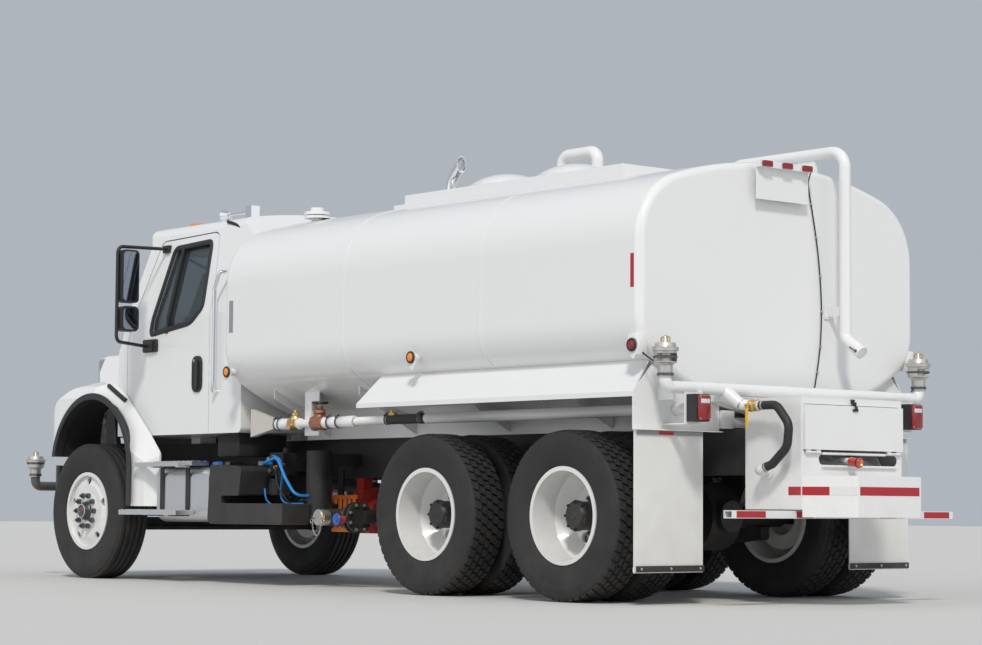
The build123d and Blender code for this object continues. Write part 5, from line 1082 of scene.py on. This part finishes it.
# %% [markdown]
# ## Wheel arch lips, hood latches and the seam
# A black lip runs over each front wheel arch and straight down behind the wheel. It is a turned
# ring, cut level with the fender's lower edges, with a straight leg behind. The hood is held by a
# rubber strap on each side, and a dark rubber seam fills the line between hood and cab.

# %% Arch lips
FENDER_NOSE_Z = 0.945
LIP_FOOT_Z = 0.562


def keep_above(bm, verts, z):
    """Cuts away what lies under a height, among the given points only."""
    faces = list({f for v in verts for f in v.link_faces})
    edges = list({e for v in verts for e in v.link_edges})
    bmesh.ops.bisect_plane(bm, geom=verts + edges + faces, plane_co=(0, 0, z), plane_no=(0, 0, -1),
                           clear_outer=True)


for label, side in SIDES:
    bm = bmesh.new()
    lip = [(0.542, 0.000), (0.542, 0.070), (0.548, 0.075), (0.584, 0.073), (0.592, 0.066), (0.592, 0.0595),
           (0.5495, 0.0595), (0.5485, 0.000)]
    turn = placed((ARCH_X, side * (FENDER_FACE - 0.060), ARCH_Z), turn_x=-90 * side)
    ring = add_turned(bm, lip, turn, steps=96, closed=True)
    keep_above(bm, ring, ARCH_Z)
    front = [v for v in bm.verts if v.co.x > ARCH_X]
    keep_above(bm, front, FENDER_NOSE_Z)
    for x0, x1, y0, y1, bevel in ((-0.5485, -0.542, -0.060, 0.015, 0.002),
                                  (-0.592, -0.545, -0.0005, 0.014, 0.004)):
        low = (ARCH_X + x0, FENDER_FACE + y0, LIP_FOOT_Z)
        high = (ARCH_X + x1, FENDER_FACE + y1, ARCH_Z + 0.002)
        add_block(bm, *mirrored(side, low, high), bevel)
    finished(bm, "arch_lip_" + label, "plastic", "hood")

# %% Hood latches and seam
hood_tree = ray_tree("hood")
for label, side in SIDES:
    places = []
    for step in range(6):
        x = FRONT_AXLE_X - 0.185 - step * 0.0426
        z = 1.490 - step * 0.0248
        hit = side_hit(hood_tree, x, z, side)
        if hit:
            places.append((x, hit.y + side * 0.006, z))
    print("latch", label, [tuple(round(v, 3) for v in p) for p in places])
    tube_along(places, 0.017, "hood_latch_" + label, "rubber", "hood")


def seam_x(z):
    """Where the line between hood and cab is at a height."""
    return FRONT_AXLE_X - 0.240 + (z - 1.43) * 0.110 / 0.37 + 0.004


half = [(0.984, 1.447), (0.900, 1.449), (0.884, 1.462), (0.846, 1.600), (0.812, 1.720), (0.800, 1.758),
        (0.770, 1.768), (0.60, 1.778), (0.30, 1.795)]
seam = [(seam_x(z), y, z + 0.003) for y, z in half] + [(seam_x(1.80), 0, 1.802)]
seam += [(seam_x(z), -y, z + 0.003) for y, z in reversed(half)]
tube_along(seam, 0.007, "hood_seam", "rubber", "hood")

# %% [markdown]
# ## Wipers and roof edge
# Two wipers rest on the windscreen's lower edge. A dark rubber strip closes the cab's upper rear
# corner on each side.

# %% Wipers
bm = bmesh.new()
for start, tip in ((0.62, 0.10), (-0.10, -0.62)):
    low, high = 1.865, 2.235
    foot = Vector((screen_x(low) + 0.022, start, low))
    top = Vector((screen_x(high) + 0.020, tip, high))
    add_rod(bm, foot - Vector((0.02, 0, 0.01)), foot + Vector((0.008, 0, 0.004)), 0.016, sides=20)
    add_rod(bm, foot, top, 0.0075, 0.005, sides=10)
    across = (top - foot).normalized() * 0.26
    add_rod(bm, top - across - Vector((0.012, 0, 0)), top + across * 0.55 - Vector((0.012, 0, 0)), 0.006,
            sides=8)
finished(bm, "wipers", "plastic")
for label, side in SIDES:
    strip = [(FRONT_AXLE_X + x, side * 0.905, z) for x,
             z in ((-1.538, 2.668), (-1.649, 2.640), (-1.749, 2.592), (-1.820, 2.538))]
    tube_along(strip, 0.013, "corner_rubber_" + label)

# %% [markdown]
# ## Steps and filler
# The cab steps have treads with round raised buttons for grip. The filler's blue cap with its
# ribbed edge stands behind the upper step.

# %% Treads and cap
FILLER_X, FILLER_Y = -1.544, 0.960
TREADS = [(-1.395, -0.645, 1.105, 1.225, 0.532, 13, 3), (-1.335, -0.740, 1.145, 1.175, 0.885, 11, 1),
          (-1.430, -0.945, 1.005, 1.115, 0.892, 9, 3)]
for label, side in SIDES:
    bm = bmesh.new()
    for x0, x1, y0, y1, z, along, across in TREADS:
        for column in range(along):
            for row in range(across):
                x = x0 + (x1 - x0) * column / (along - 1)
                y = (y0 + y1) / 2 if across == 1 else y0 + (y1 - y0) * row / (across - 1)
                add_rod(bm, spot(x, side * y, z - 0.001), spot(x, side * y, z + 0.004), 0.013, 0.009,
                        sides=12)
    finished(bm, "step_buttons_" + label, "steps")

bm = bmesh.new()
add_turned(bm, [(0.0, 0.020), (0.030, 0.020), (0.040, 0.014), (0.043, 0.0), (0.045, -0.012)],
           Matrix.Translation(spot(FILLER_X, FILLER_Y, 0.870)), steps=32)
for a, b in around(8, 0.041):
    add_rod(bm, spot(FILLER_X + a, FILLER_Y + b, 0.862), spot(FILLER_X + a, FILLER_Y + b, 0.884), 0.006,
            sides=8)
finished(bm, "filler_cap", "blue_paint")

# %% [markdown]
# ## Side valves and hose clamps
# The supply line on the left side carries a brass ball valve, a bronze gate valve and a small
# drain cock. Band clamps with a screw housing hold the black hose and the white pipe. One small
# table gives where each clamp sits.

# %% Clamps
PIPE_Y, PIPE_Z = 1.000, 1.145
SUPPLY_Y, SUPPLY_Z = 0.870, 1.157


def add_clamp(bm, centre, radius):
    """A band clamp round a lengthwise pipe, and its screw housing high on the outer side."""
    along, half, outer = Vector((1, 0, 0)), 0.007, radius + 0.0022
    band = [(radius, -half), (outer, -half), (outer, half), (radius, half)]
    add_turned(bm, band, aimed(centre, along), steps=40, closed=True)
    out = Vector((0, 0.5, 0.8)).normalized()
    across = along.cross(out).normalized()
    seat = centre + out * (radius + 0.006)
    add_rod(bm, seat - across * 0.016, seat + across * 0.016, 0.0065, sides=12)
    add_rod(bm, seat + across * 0.015, seat + across * 0.024, 0.0055, sides=6)


bm = bmesh.new()
for x, radius in ((-2.350, 0.043), (-2.395, 0.043), (-2.975, 0.042), (-3.080, 0.042)):
    add_clamp(bm, spot(x, PIPE_Y, PIPE_Z), radius)
for x in (-3.455, -3.840, -3.815):
    add_clamp(bm, spot(x, SUPPLY_Y, SUPPLY_Z), 0.034)
finished(bm, "side_clamps", "dark_steel")

# %% Sleeves on the white pipe
bm = bmesh.new()
lengthwise = placed(spot(0, PIPE_Y, PIPE_Z), turn_y=-90)
sleeve = [(0.030, 2.902), (0.040, 2.905), (0.041, 2.960), (0.037, 2.968), (0.037, 2.985), (0.0415, 2.992),
          (0.0415, 3.065), (0.037, 3.072), (0.037, 3.090), (0.042, 3.098), (0.042, 3.240), (0.037, 3.262),
          (0.030, 3.264)]
add_turned(bm, sleeve, lengthwise, steps=40)
add_turned(bm, [(0.030, 2.592), (0.039, 2.598), (0.039, 2.622), (0.030, 2.624)], lengthwise, steps=40)
finished(bm, "pipe_sleeves", "white")

# %% [markdown]
# ## Bronze gate valve and brass ball valve
# The gate valve stands up in a bronze bonnet with a brass gland nut, under the round black rim
# of its wheel. The ball valve in front of it has hexagon ends, a pointed bonnet and a side plug.

# %% Valve details
def add_ring(bm, matrix, radius, thick, steps=32, sides=8, mat=0):
    """A round ring lying across the matrix's Z."""
    hoop = [(radius + thick * cos(2 * pi * k / sides),
             thick * sin(2 * pi * k / sides)) for k in range(sides)]
    add_turned(bm, hoop, matrix, steps=steps, mat=mat, closed=True)


bm = bmesh.new()
gate = Matrix.Translation(spot(-2.850, PIPE_Y, 0))
add_turned(bm, [(0.012, 1.262), (0.020, 1.260), (0.022, 1.246), (0.034, 1.240), (0.043, 1.232),
                (0.045, 1.214), (0.032, 1.206), (0.030, 1.196), (0.042, 1.172)], gate, steps=28)
add_turned(bm, [(0.013, 1.274), (0.017, 1.270), (0.018, 1.256), (0.013, 1.252)], gate, steps=6, mat=1)
for x in (-2.797, -2.903):
    add_rod(bm, spot(x - 0.010, PIPE_Y, PIPE_Z), spot(x + 0.010, PIPE_Y, PIPE_Z), 0.054, sides=8)
add_ring(bm, Matrix.Translation(spot(-2.850, PIPE_Y, 1.285)), 0.051, 0.0085, mat=2)
finished(bm, "gate_valve_trim", "bronze brass plastic")

bm = bmesh.new()
for x in (-2.524, -2.596):
    add_rod(bm, spot(x - 0.009, PIPE_Y, PIPE_Z), spot(x + 0.009, PIPE_Y, PIPE_Z), 0.047, sides=6)
ball = Matrix.Translation(spot(-2.560, PIPE_Y, 0))
add_turned(bm, [(0.0, 1.243), (0.012, 1.240), (0.015, 1.226), (0.025, 1.220), (0.026, 1.204),
                (0.038, 1.190), (0.042, 1.165)], ball, steps=24)
add_rod(bm, spot(-2.560, PIPE_Y, PIPE_Z), spot(-2.560, PIPE_Y + 0.058, PIPE_Z - 0.020), 0.020, sides=20)
add_rod(bm, spot(-2.560, PIPE_Y + 0.056, PIPE_Z - 0.019), spot(-2.560, PIPE_Y + 0.066, PIPE_Z - 0.023),
        0.024, sides=6)
finished(bm, "ball_valve_trim", "brass")

bm = bmesh.new()
cock = spot(-3.480, PIPE_Y - 0.13, 1.190)
add_rod(bm, spot(-3.420, SUPPLY_Y, SUPPLY_Z), cock, 0.016, sides=16)
add_rod(bm, cock, cock + Vector((-0.060, 0, 0)), 0.019, sides=6)
add_rod(bm, cock, cock + Vector((-0.024, 0.0, 0.030)), 0.010, sides=12)
finished(bm, "drain_cock", "brass")

# %% [markdown]
# ## Suction cap, flange bolts and pump guards
# The suction inlet is closed by a cap with two ring levers and a safety chain. The dark flanges
# behind it are bolted. Orange guards stand beside the red pump and its belt.

# %% Cap, levers and chain
CAP = spot(-2.813, 0.985, 0.490)
bm = bmesh.new()
cap_turn = placed(CAP, turn_x=-90)
add_turned(bm, [(0.054, -0.050), (0.057, -0.046), (0.057, -0.006), (0.050, 0.001), (0.040, -0.003),
                (0.0, -0.003)], cap_turn, steps=40)
for way in (-1, 1):
    hinge = CAP + Vector((way * 0.060, -0.022, 0))
    add_rod(bm, hinge - Vector((0, 0, 0.016)), hinge + Vector((0, 0, 0.016)), 0.008, sides=12, mat=1)
    add_rod(bm, hinge, hinge + Vector((way * 0.012, 0.020, 0)), 0.009, sides=12, mat=1)
    add_rod(bm, hinge + Vector((way * 0.010, 0.018, 0)), hinge + Vector((-way * 0.030, 0.030, -0.008)),
            0.007, 0.005, sides=12, mat=1)
    ring_at = Matrix.Translation(hinge + Vector((way * 0.006, 0.024, -0.026)))
    add_ring(bm, ring_at @ Matrix.Rotation(radians(90), 4, "X"), 0.014, 0.0022, steps=20, sides=6, mat=2)
finished(bm, "suction_cap", "cast brass steel")

bm = bmesh.new()
LINKS = 26
for index in range(LINKS):
    turn = pi * (index + 0.5) / LINKS
    place = CAP + Vector((-0.050 * cos(turn), 0.006, -0.020 - 0.105 * sin(turn)))
    slope = atan2(-0.105 * cos(turn), 0.050 * sin(turn))
    link = placed(place, turn_y=-slope * 180 / pi, turn_x=90 if index % 2 else 0)
    add_ring(bm, link @ Matrix.Diagonal((1.5, 1, 1, 1)), 0.0042, 0.0013, steps=12, sides=5)
finished(bm, "cap_chain", "steel")

# %% Flange bolts, small blue valve and guards
bm = bmesh.new()
for x, toward in ((-2.935, 1), (-3.005, -1)):
    for a, b in around(8, 0.090, pi / 8):
        add_nut(bm, spot(x, 0.76 + a, 0.490 + b), (toward, 0, 0), 0.024, 0.014, 0.006)
finished(bm, "flange_bolts", "steel")

bm = bmesh.new()
add_turned(bm, [(0.0, 0.010), (0.014, 0.008), (0.016, 0.002), (0.038, 0.006), (0.043, 0.0), (0.038, -0.007),
                (0.012, -0.008), (0.010, -0.060),
                (0.0, -0.060)], placed(spot(-2.962, 0.930, 0.478), turn_x=-90), steps=36)
add_rod(bm, spot(-2.962, 0.860, 0.478), spot(-2.962, 0.900, 0.478), 0.024, sides=20, mat=1)
add_rod(bm, spot(-2.962, 0.800, 0.478), spot(-2.962, 0.866, 0.478), 0.034, 0.022, sides=20)
finished(bm, "small_blue_valve", "blue_paint red_paint")

bm = bmesh.new()
for index in range(5):
    add_block(bm, spot(-2.400 - index * 0.055, 0.505, 0.400), spot(-2.362 - index * 0.055, 0.512, 0.640),
              0.002)
add_block(bm, spot(-2.640, 0.503, 0.620), spot(-2.340, 0.514, 0.650), 0.003)
add_block(bm, spot(-2.640, 0.503, 0.385), spot(-2.340, 0.514, 0.415), 0.003)
add_block(bm, spot(-2.640, 0.400, 0.385), spot(-2.340, 0.514, 0.393), 0.003)
finished(bm, "pump_guard", "orange")

# %% [markdown]
# ## Air dryer, lines and fittings
# Behind the battery box stands the air dryer: a dark casting over a round canister, with brass
# and silver fittings. Thin lines run from it along the frame.

# %% Air dryer trim
bm = bmesh.new()
DRYER = spot(-2.105, 0.830, 0.640)
dryer = Matrix.Translation(DRYER)
add_turned(bm, [(0.0, -0.006), (0.040, -0.004), (0.052, 0.006), (0.055, 0.020), (0.055, 0.100),
                (0.058, 0.104), (0.058, 0.118), (0.050, 0.124)], dryer, steps=36)
for a, b in around(12, 0.055):
    add_rod(bm, DRYER + Vector((a, b, 0.020)), DRYER + Vector((a, b, 0.095)), 0.004, sides=8)
for x, z, length, mat in ((-2.070, 0.905, 0.034, 2), (-2.120, 0.920, 0.030, 1), (-2.160, 0.845, 0.040, 1),
                          (-2.075, 0.820, 0.028, 2), (-2.215, 0.865, 0.030, 1)):
    add_rod(bm, spot(x, 0.845, z), spot(x, 0.858 + length, z), 0.012, sides=16, mat=mat)
    add_rod(bm, spot(x, 0.855 + length * 0.5, z), spot(x, 0.866 + length * 0.5, z), 0.0165, sides=6,
            mat=mat)
finished(bm, "dryer_trim", "frame brass steel")

tube_along([spot(-2.125, 0.890, 0.920), spot(-2.190, 0.930, 0.930), spot(-2.265, 0.910, 0.900),
            spot(-2.260, 0.890, 0.790), spot(-2.215, 0.880, 0.690), spot(-2.220, 0.870, 0.600),
            spot(-2.300, 0.850, 0.580), spot(-2.420, 0.820, 0.585)], 0.0075, "air_line_long", "blue_hose")
tube_along([spot(-2.030, 0.885, 0.690), spot(-2.060, 0.905, 0.620), spot(-2.140, 0.900, 0.570),
            spot(-2.260, 0.870, 0.566), spot(-2.420, 0.820, 0.570)], 0.0065, "air_line_low", "blue_hose")
tube_along([spot(-2.160, 0.880, 0.850), spot(-2.200, 0.915, 0.760), spot(-2.250, 0.890, 0.640),
            spot(-2.330, 0.840, 0.560)], 0.0060, "cable_black")

# %% [markdown]
# ## Shroud and front cable
# A near-black block stands for the shade in the gap under the cab's rear corner. A cable crosses the tank's
# front face and drops to the frame.

# %% Painted shade block and cable
# A near-black block as painted shade in the gap under the cab's rear corner.
bm = bmesh.new()
for label, side in SIDES:
    add_block(bm, *mirrored(side, spot(-1.840, 0.560, 0.925), spot(-1.560, 0.985, 1.085)), 0.010)
finished(bm, "cab_gap_painted_shade", "shadow")
tube_along([spot(-1.962, 1.110, 1.499), spot(-1.960, 1.030, 1.440), spot(-1.960, 0.912, 1.380),
            spot(-1.960, 0.760, 1.330), spot(-1.960, 0.638, 1.267),
            spot(-1.962, 0.560, 1.180)], 0.006, "tank_cable")

# %% [markdown]
# ## Tank top and rear head
# The lamp bar over the blank plate carries three red lenses. Their wire leaves the bar's end and
# runs down the rear head under small clips. The overflow pipe ends in a capped coupling.

# %% Lamp bar, wire and coupling
SIGN_X = -6.345
BAR_Z = TANK_TOP_Z - 0.030
bm = bmesh.new()
for y in (0.235, 0.057, -0.120):
    add_plate(bm, spot(SIGN_X - 0.056, y - 0.040, BAR_Z - 0.018),
              spot(SIGN_X - 0.039, y + 0.040, BAR_Z + 0.018), 0.008, 0)
finished(bm, "sign_lamps", "red_lens")

WIRE = [(-6.372, -0.172, 2.650), (-6.330, -0.195, 2.610), (-6.306, -0.222, 2.567), (-6.306, -0.275, 2.350),
        (-6.306, -0.318, 2.120), (-6.306, -0.342, 1.857), (-6.306, -0.335, 1.640), (-6.306, -0.312, 1.480),
        (-6.306, -0.275, 1.322)]
tube_along([spot(*p) for p in WIRE], 0.0042, "rear_wire")
bm = bmesh.new()
for y, z in ((-0.245, 2.470), (-0.293, 2.260), (-0.330, 2.020), (-0.341, 1.800), (-0.328, 1.580),
             (-0.300, 1.420)):
    add_block(bm, spot(-6.312, y - 0.009, z - 0.006), spot(-6.300, y + 0.009, z + 0.006), 0.002)
finished(bm, "wire_clips", "steel")

bm = bmesh.new()
OVERFLOW_END = spot(-6.580, -0.400, 1.535)
down = Vector((-0.130, 0, -0.095)).normalized()
end_turn = aimed(OVERFLOW_END, down)
add_turned(bm, [(0.0376, -0.062), (0.041, -0.060), (0.041, -0.022), (0.0385, -0.020), (0.0385, -0.006),
                (0.042, -0.004), (0.042, 0.006), (0.036, 0.006), (0.035, -0.002),
                (0.0, -0.002)], end_turn, steps=40)
for way in (-1, 1):
    seat = OVERFLOW_END + Vector((0, way * 0.045, 0)) - down * 0.014
    add_rod(bm, seat - Vector((0, way * 0.012, 0)), seat, 0.009, sides=12, mat=1)
    add_rod(bm, seat, seat - down * 0.045 + Vector((0, way * 0.012, 0)), 0.0055, sides=10, mat=1)
finished(bm, "overflow_coupling", "white dark_steel")

# %% [markdown]
# ## Spray heads
# Each head has a dark clamp ring on its riser and one round its barrel, bolts on its flange and
# a small brass yoke on top.

# %% Spray head trim
HEADS = ((0.972, 1.050, 0.790, 0.070, 0.095), (-6.420, 1.125, 1.330, 0.080, 0.120))
for x, y, foot, riser, barrel in HEADS:
    for label, side in SIDES:
        top = foot + riser + barrel
        here = spot(x, side * y, 0)
        bm = bmesh.new()
        for inner, outer, low, high in ((0.0445, 0.0500, foot + 0.008, foot + 0.026),
                                        (0.0685, 0.0725, foot + riser + 0.030, foot + riser + 0.044)):
            band = [(inner, low), (outer, low + 0.002), (outer, high - 0.002), (inner, high)]
            add_turned(bm, band, Matrix.Translation(here), steps=36)
        for a, b in around(8, 0.073, 0.2):
            add_nut(bm, here + Vector((a, b, top - 0.030)), (0, 0, 1), 0.011, 0.006, 0.003, mat=2)
        for way in (-0.036, 0.036):
            add_rod(bm, here + Vector((way, 0, top)), here + Vector((way, 0, top + 0.034)), 0.005, sides=10,
                    mat=1)
            add_rod(bm, here + Vector((way, 0, top + 0.030)), here + Vector((0, 0, top + 0.042)), 0.005,
                    sides=10, mat=1)
        finished(bm, f"spray_trim_{'front' if x > 0 else 'rear'}_{label}", "dark_steel brass steel")

# %% [markdown]
# ## Small things at the rear
# The rear side markers sit in white boxes, and a cable leaves each of them. A black bar with
# bolts stiffens each rear flap at its foot.

# %% Marker boxes, cables and flap bars
bm = bmesh.new()
for label, side in SIDES:
    add_block(bm, *mirrored(side, spot(-6.296, 1.150, 1.462), spot(-6.204, 1.226, 1.592)), 0.006)
finished(bm, "marker_boxes", "white")
for label, side in SIDES:
    tube_along([spot(-6.290, side * 1.190, 1.480), spot(-6.340, side * 1.175, 1.440),
                spot(-6.395, side * 1.150, 1.405), spot(-6.412, side * 1.085, 1.360),
                spot(-6.405, side * 1.075, 1.320)], 0.005, "marker_cable_" + label)

bm = bmesh.new()
FLAP_X = -6.260
for label, side in SIDES:
    low, high = spot(FLAP_X - 0.006, 0.650, 0.196), spot(FLAP_X + 0.001, 1.205, 0.232)
    add_block(bm, *mirrored(side, low, high), 0.002)
    for y in (0.690, 0.930, 1.170):
        add_nut(bm, spot(FLAP_X - 0.006, side * y, 0.214), (-1, 0, 0), 0.016, 0.007, 0.004, mat=1)
finished(bm, "flap_bars", "frame steel")

# %% [markdown]
# ## Floor and light
# A plain pale floor, a key sun from the left rear, high, as in the picture, and two weak suns
# with a wide spread, which fill the shadows so that black parts still read.

# %% Floor
FLOOR_COLOUR = (0.62, 0.61, 0.59)
floor_bm = bmesh.new()
bmesh.ops.create_grid(floor_bm, x_segments=1, y_segments=1, size=60)
floor_mesh = bpy.data.meshes.new("floor")
floor_bm.to_mesh(floor_mesh)
floor_bm.free()
floor_mesh.materials.append(start_material("floor_pale", FLOOR_COLOUR, 0.9)[0])
linked("floor", floor_mesh)

# %% World and lamps
world = bpy.data.worlds.new("studio")
world.use_nodes = True
bpy.context.scene.world = world
sky = world.node_tree.nodes["Background"]
sky.inputs["Color"].default_value = (0.78, 0.84, 0.92, 1)
sky.inputs["Strength"].default_value = 0.55


def add_sun(name, toward, strength, spread, colour=(1, 1, 1)):
    """A sun lamp that shines along a direction. A wide spread gives soft shadows."""
    data = bpy.data.lights.new(name, "SUN")
    data.energy = strength
    data.angle = radians(spread)
    data.color = colour
    linked(name, data).matrix_world = Vector(toward).to_track_quat("-Z", "Y").to_matrix().to_4x4()


add_sun("key", (0.55, -0.50, -0.75), 1.9, 8, (1.0, 0.97, 0.92))
add_sun("fill", (-0.2, -0.9, -0.35), 0.45, 60)
add_sun("rear_fill", (0.9, 0.2, -0.3), 0.40, 60)
bpy.context.scene.view_settings.view_transform = "Standard"
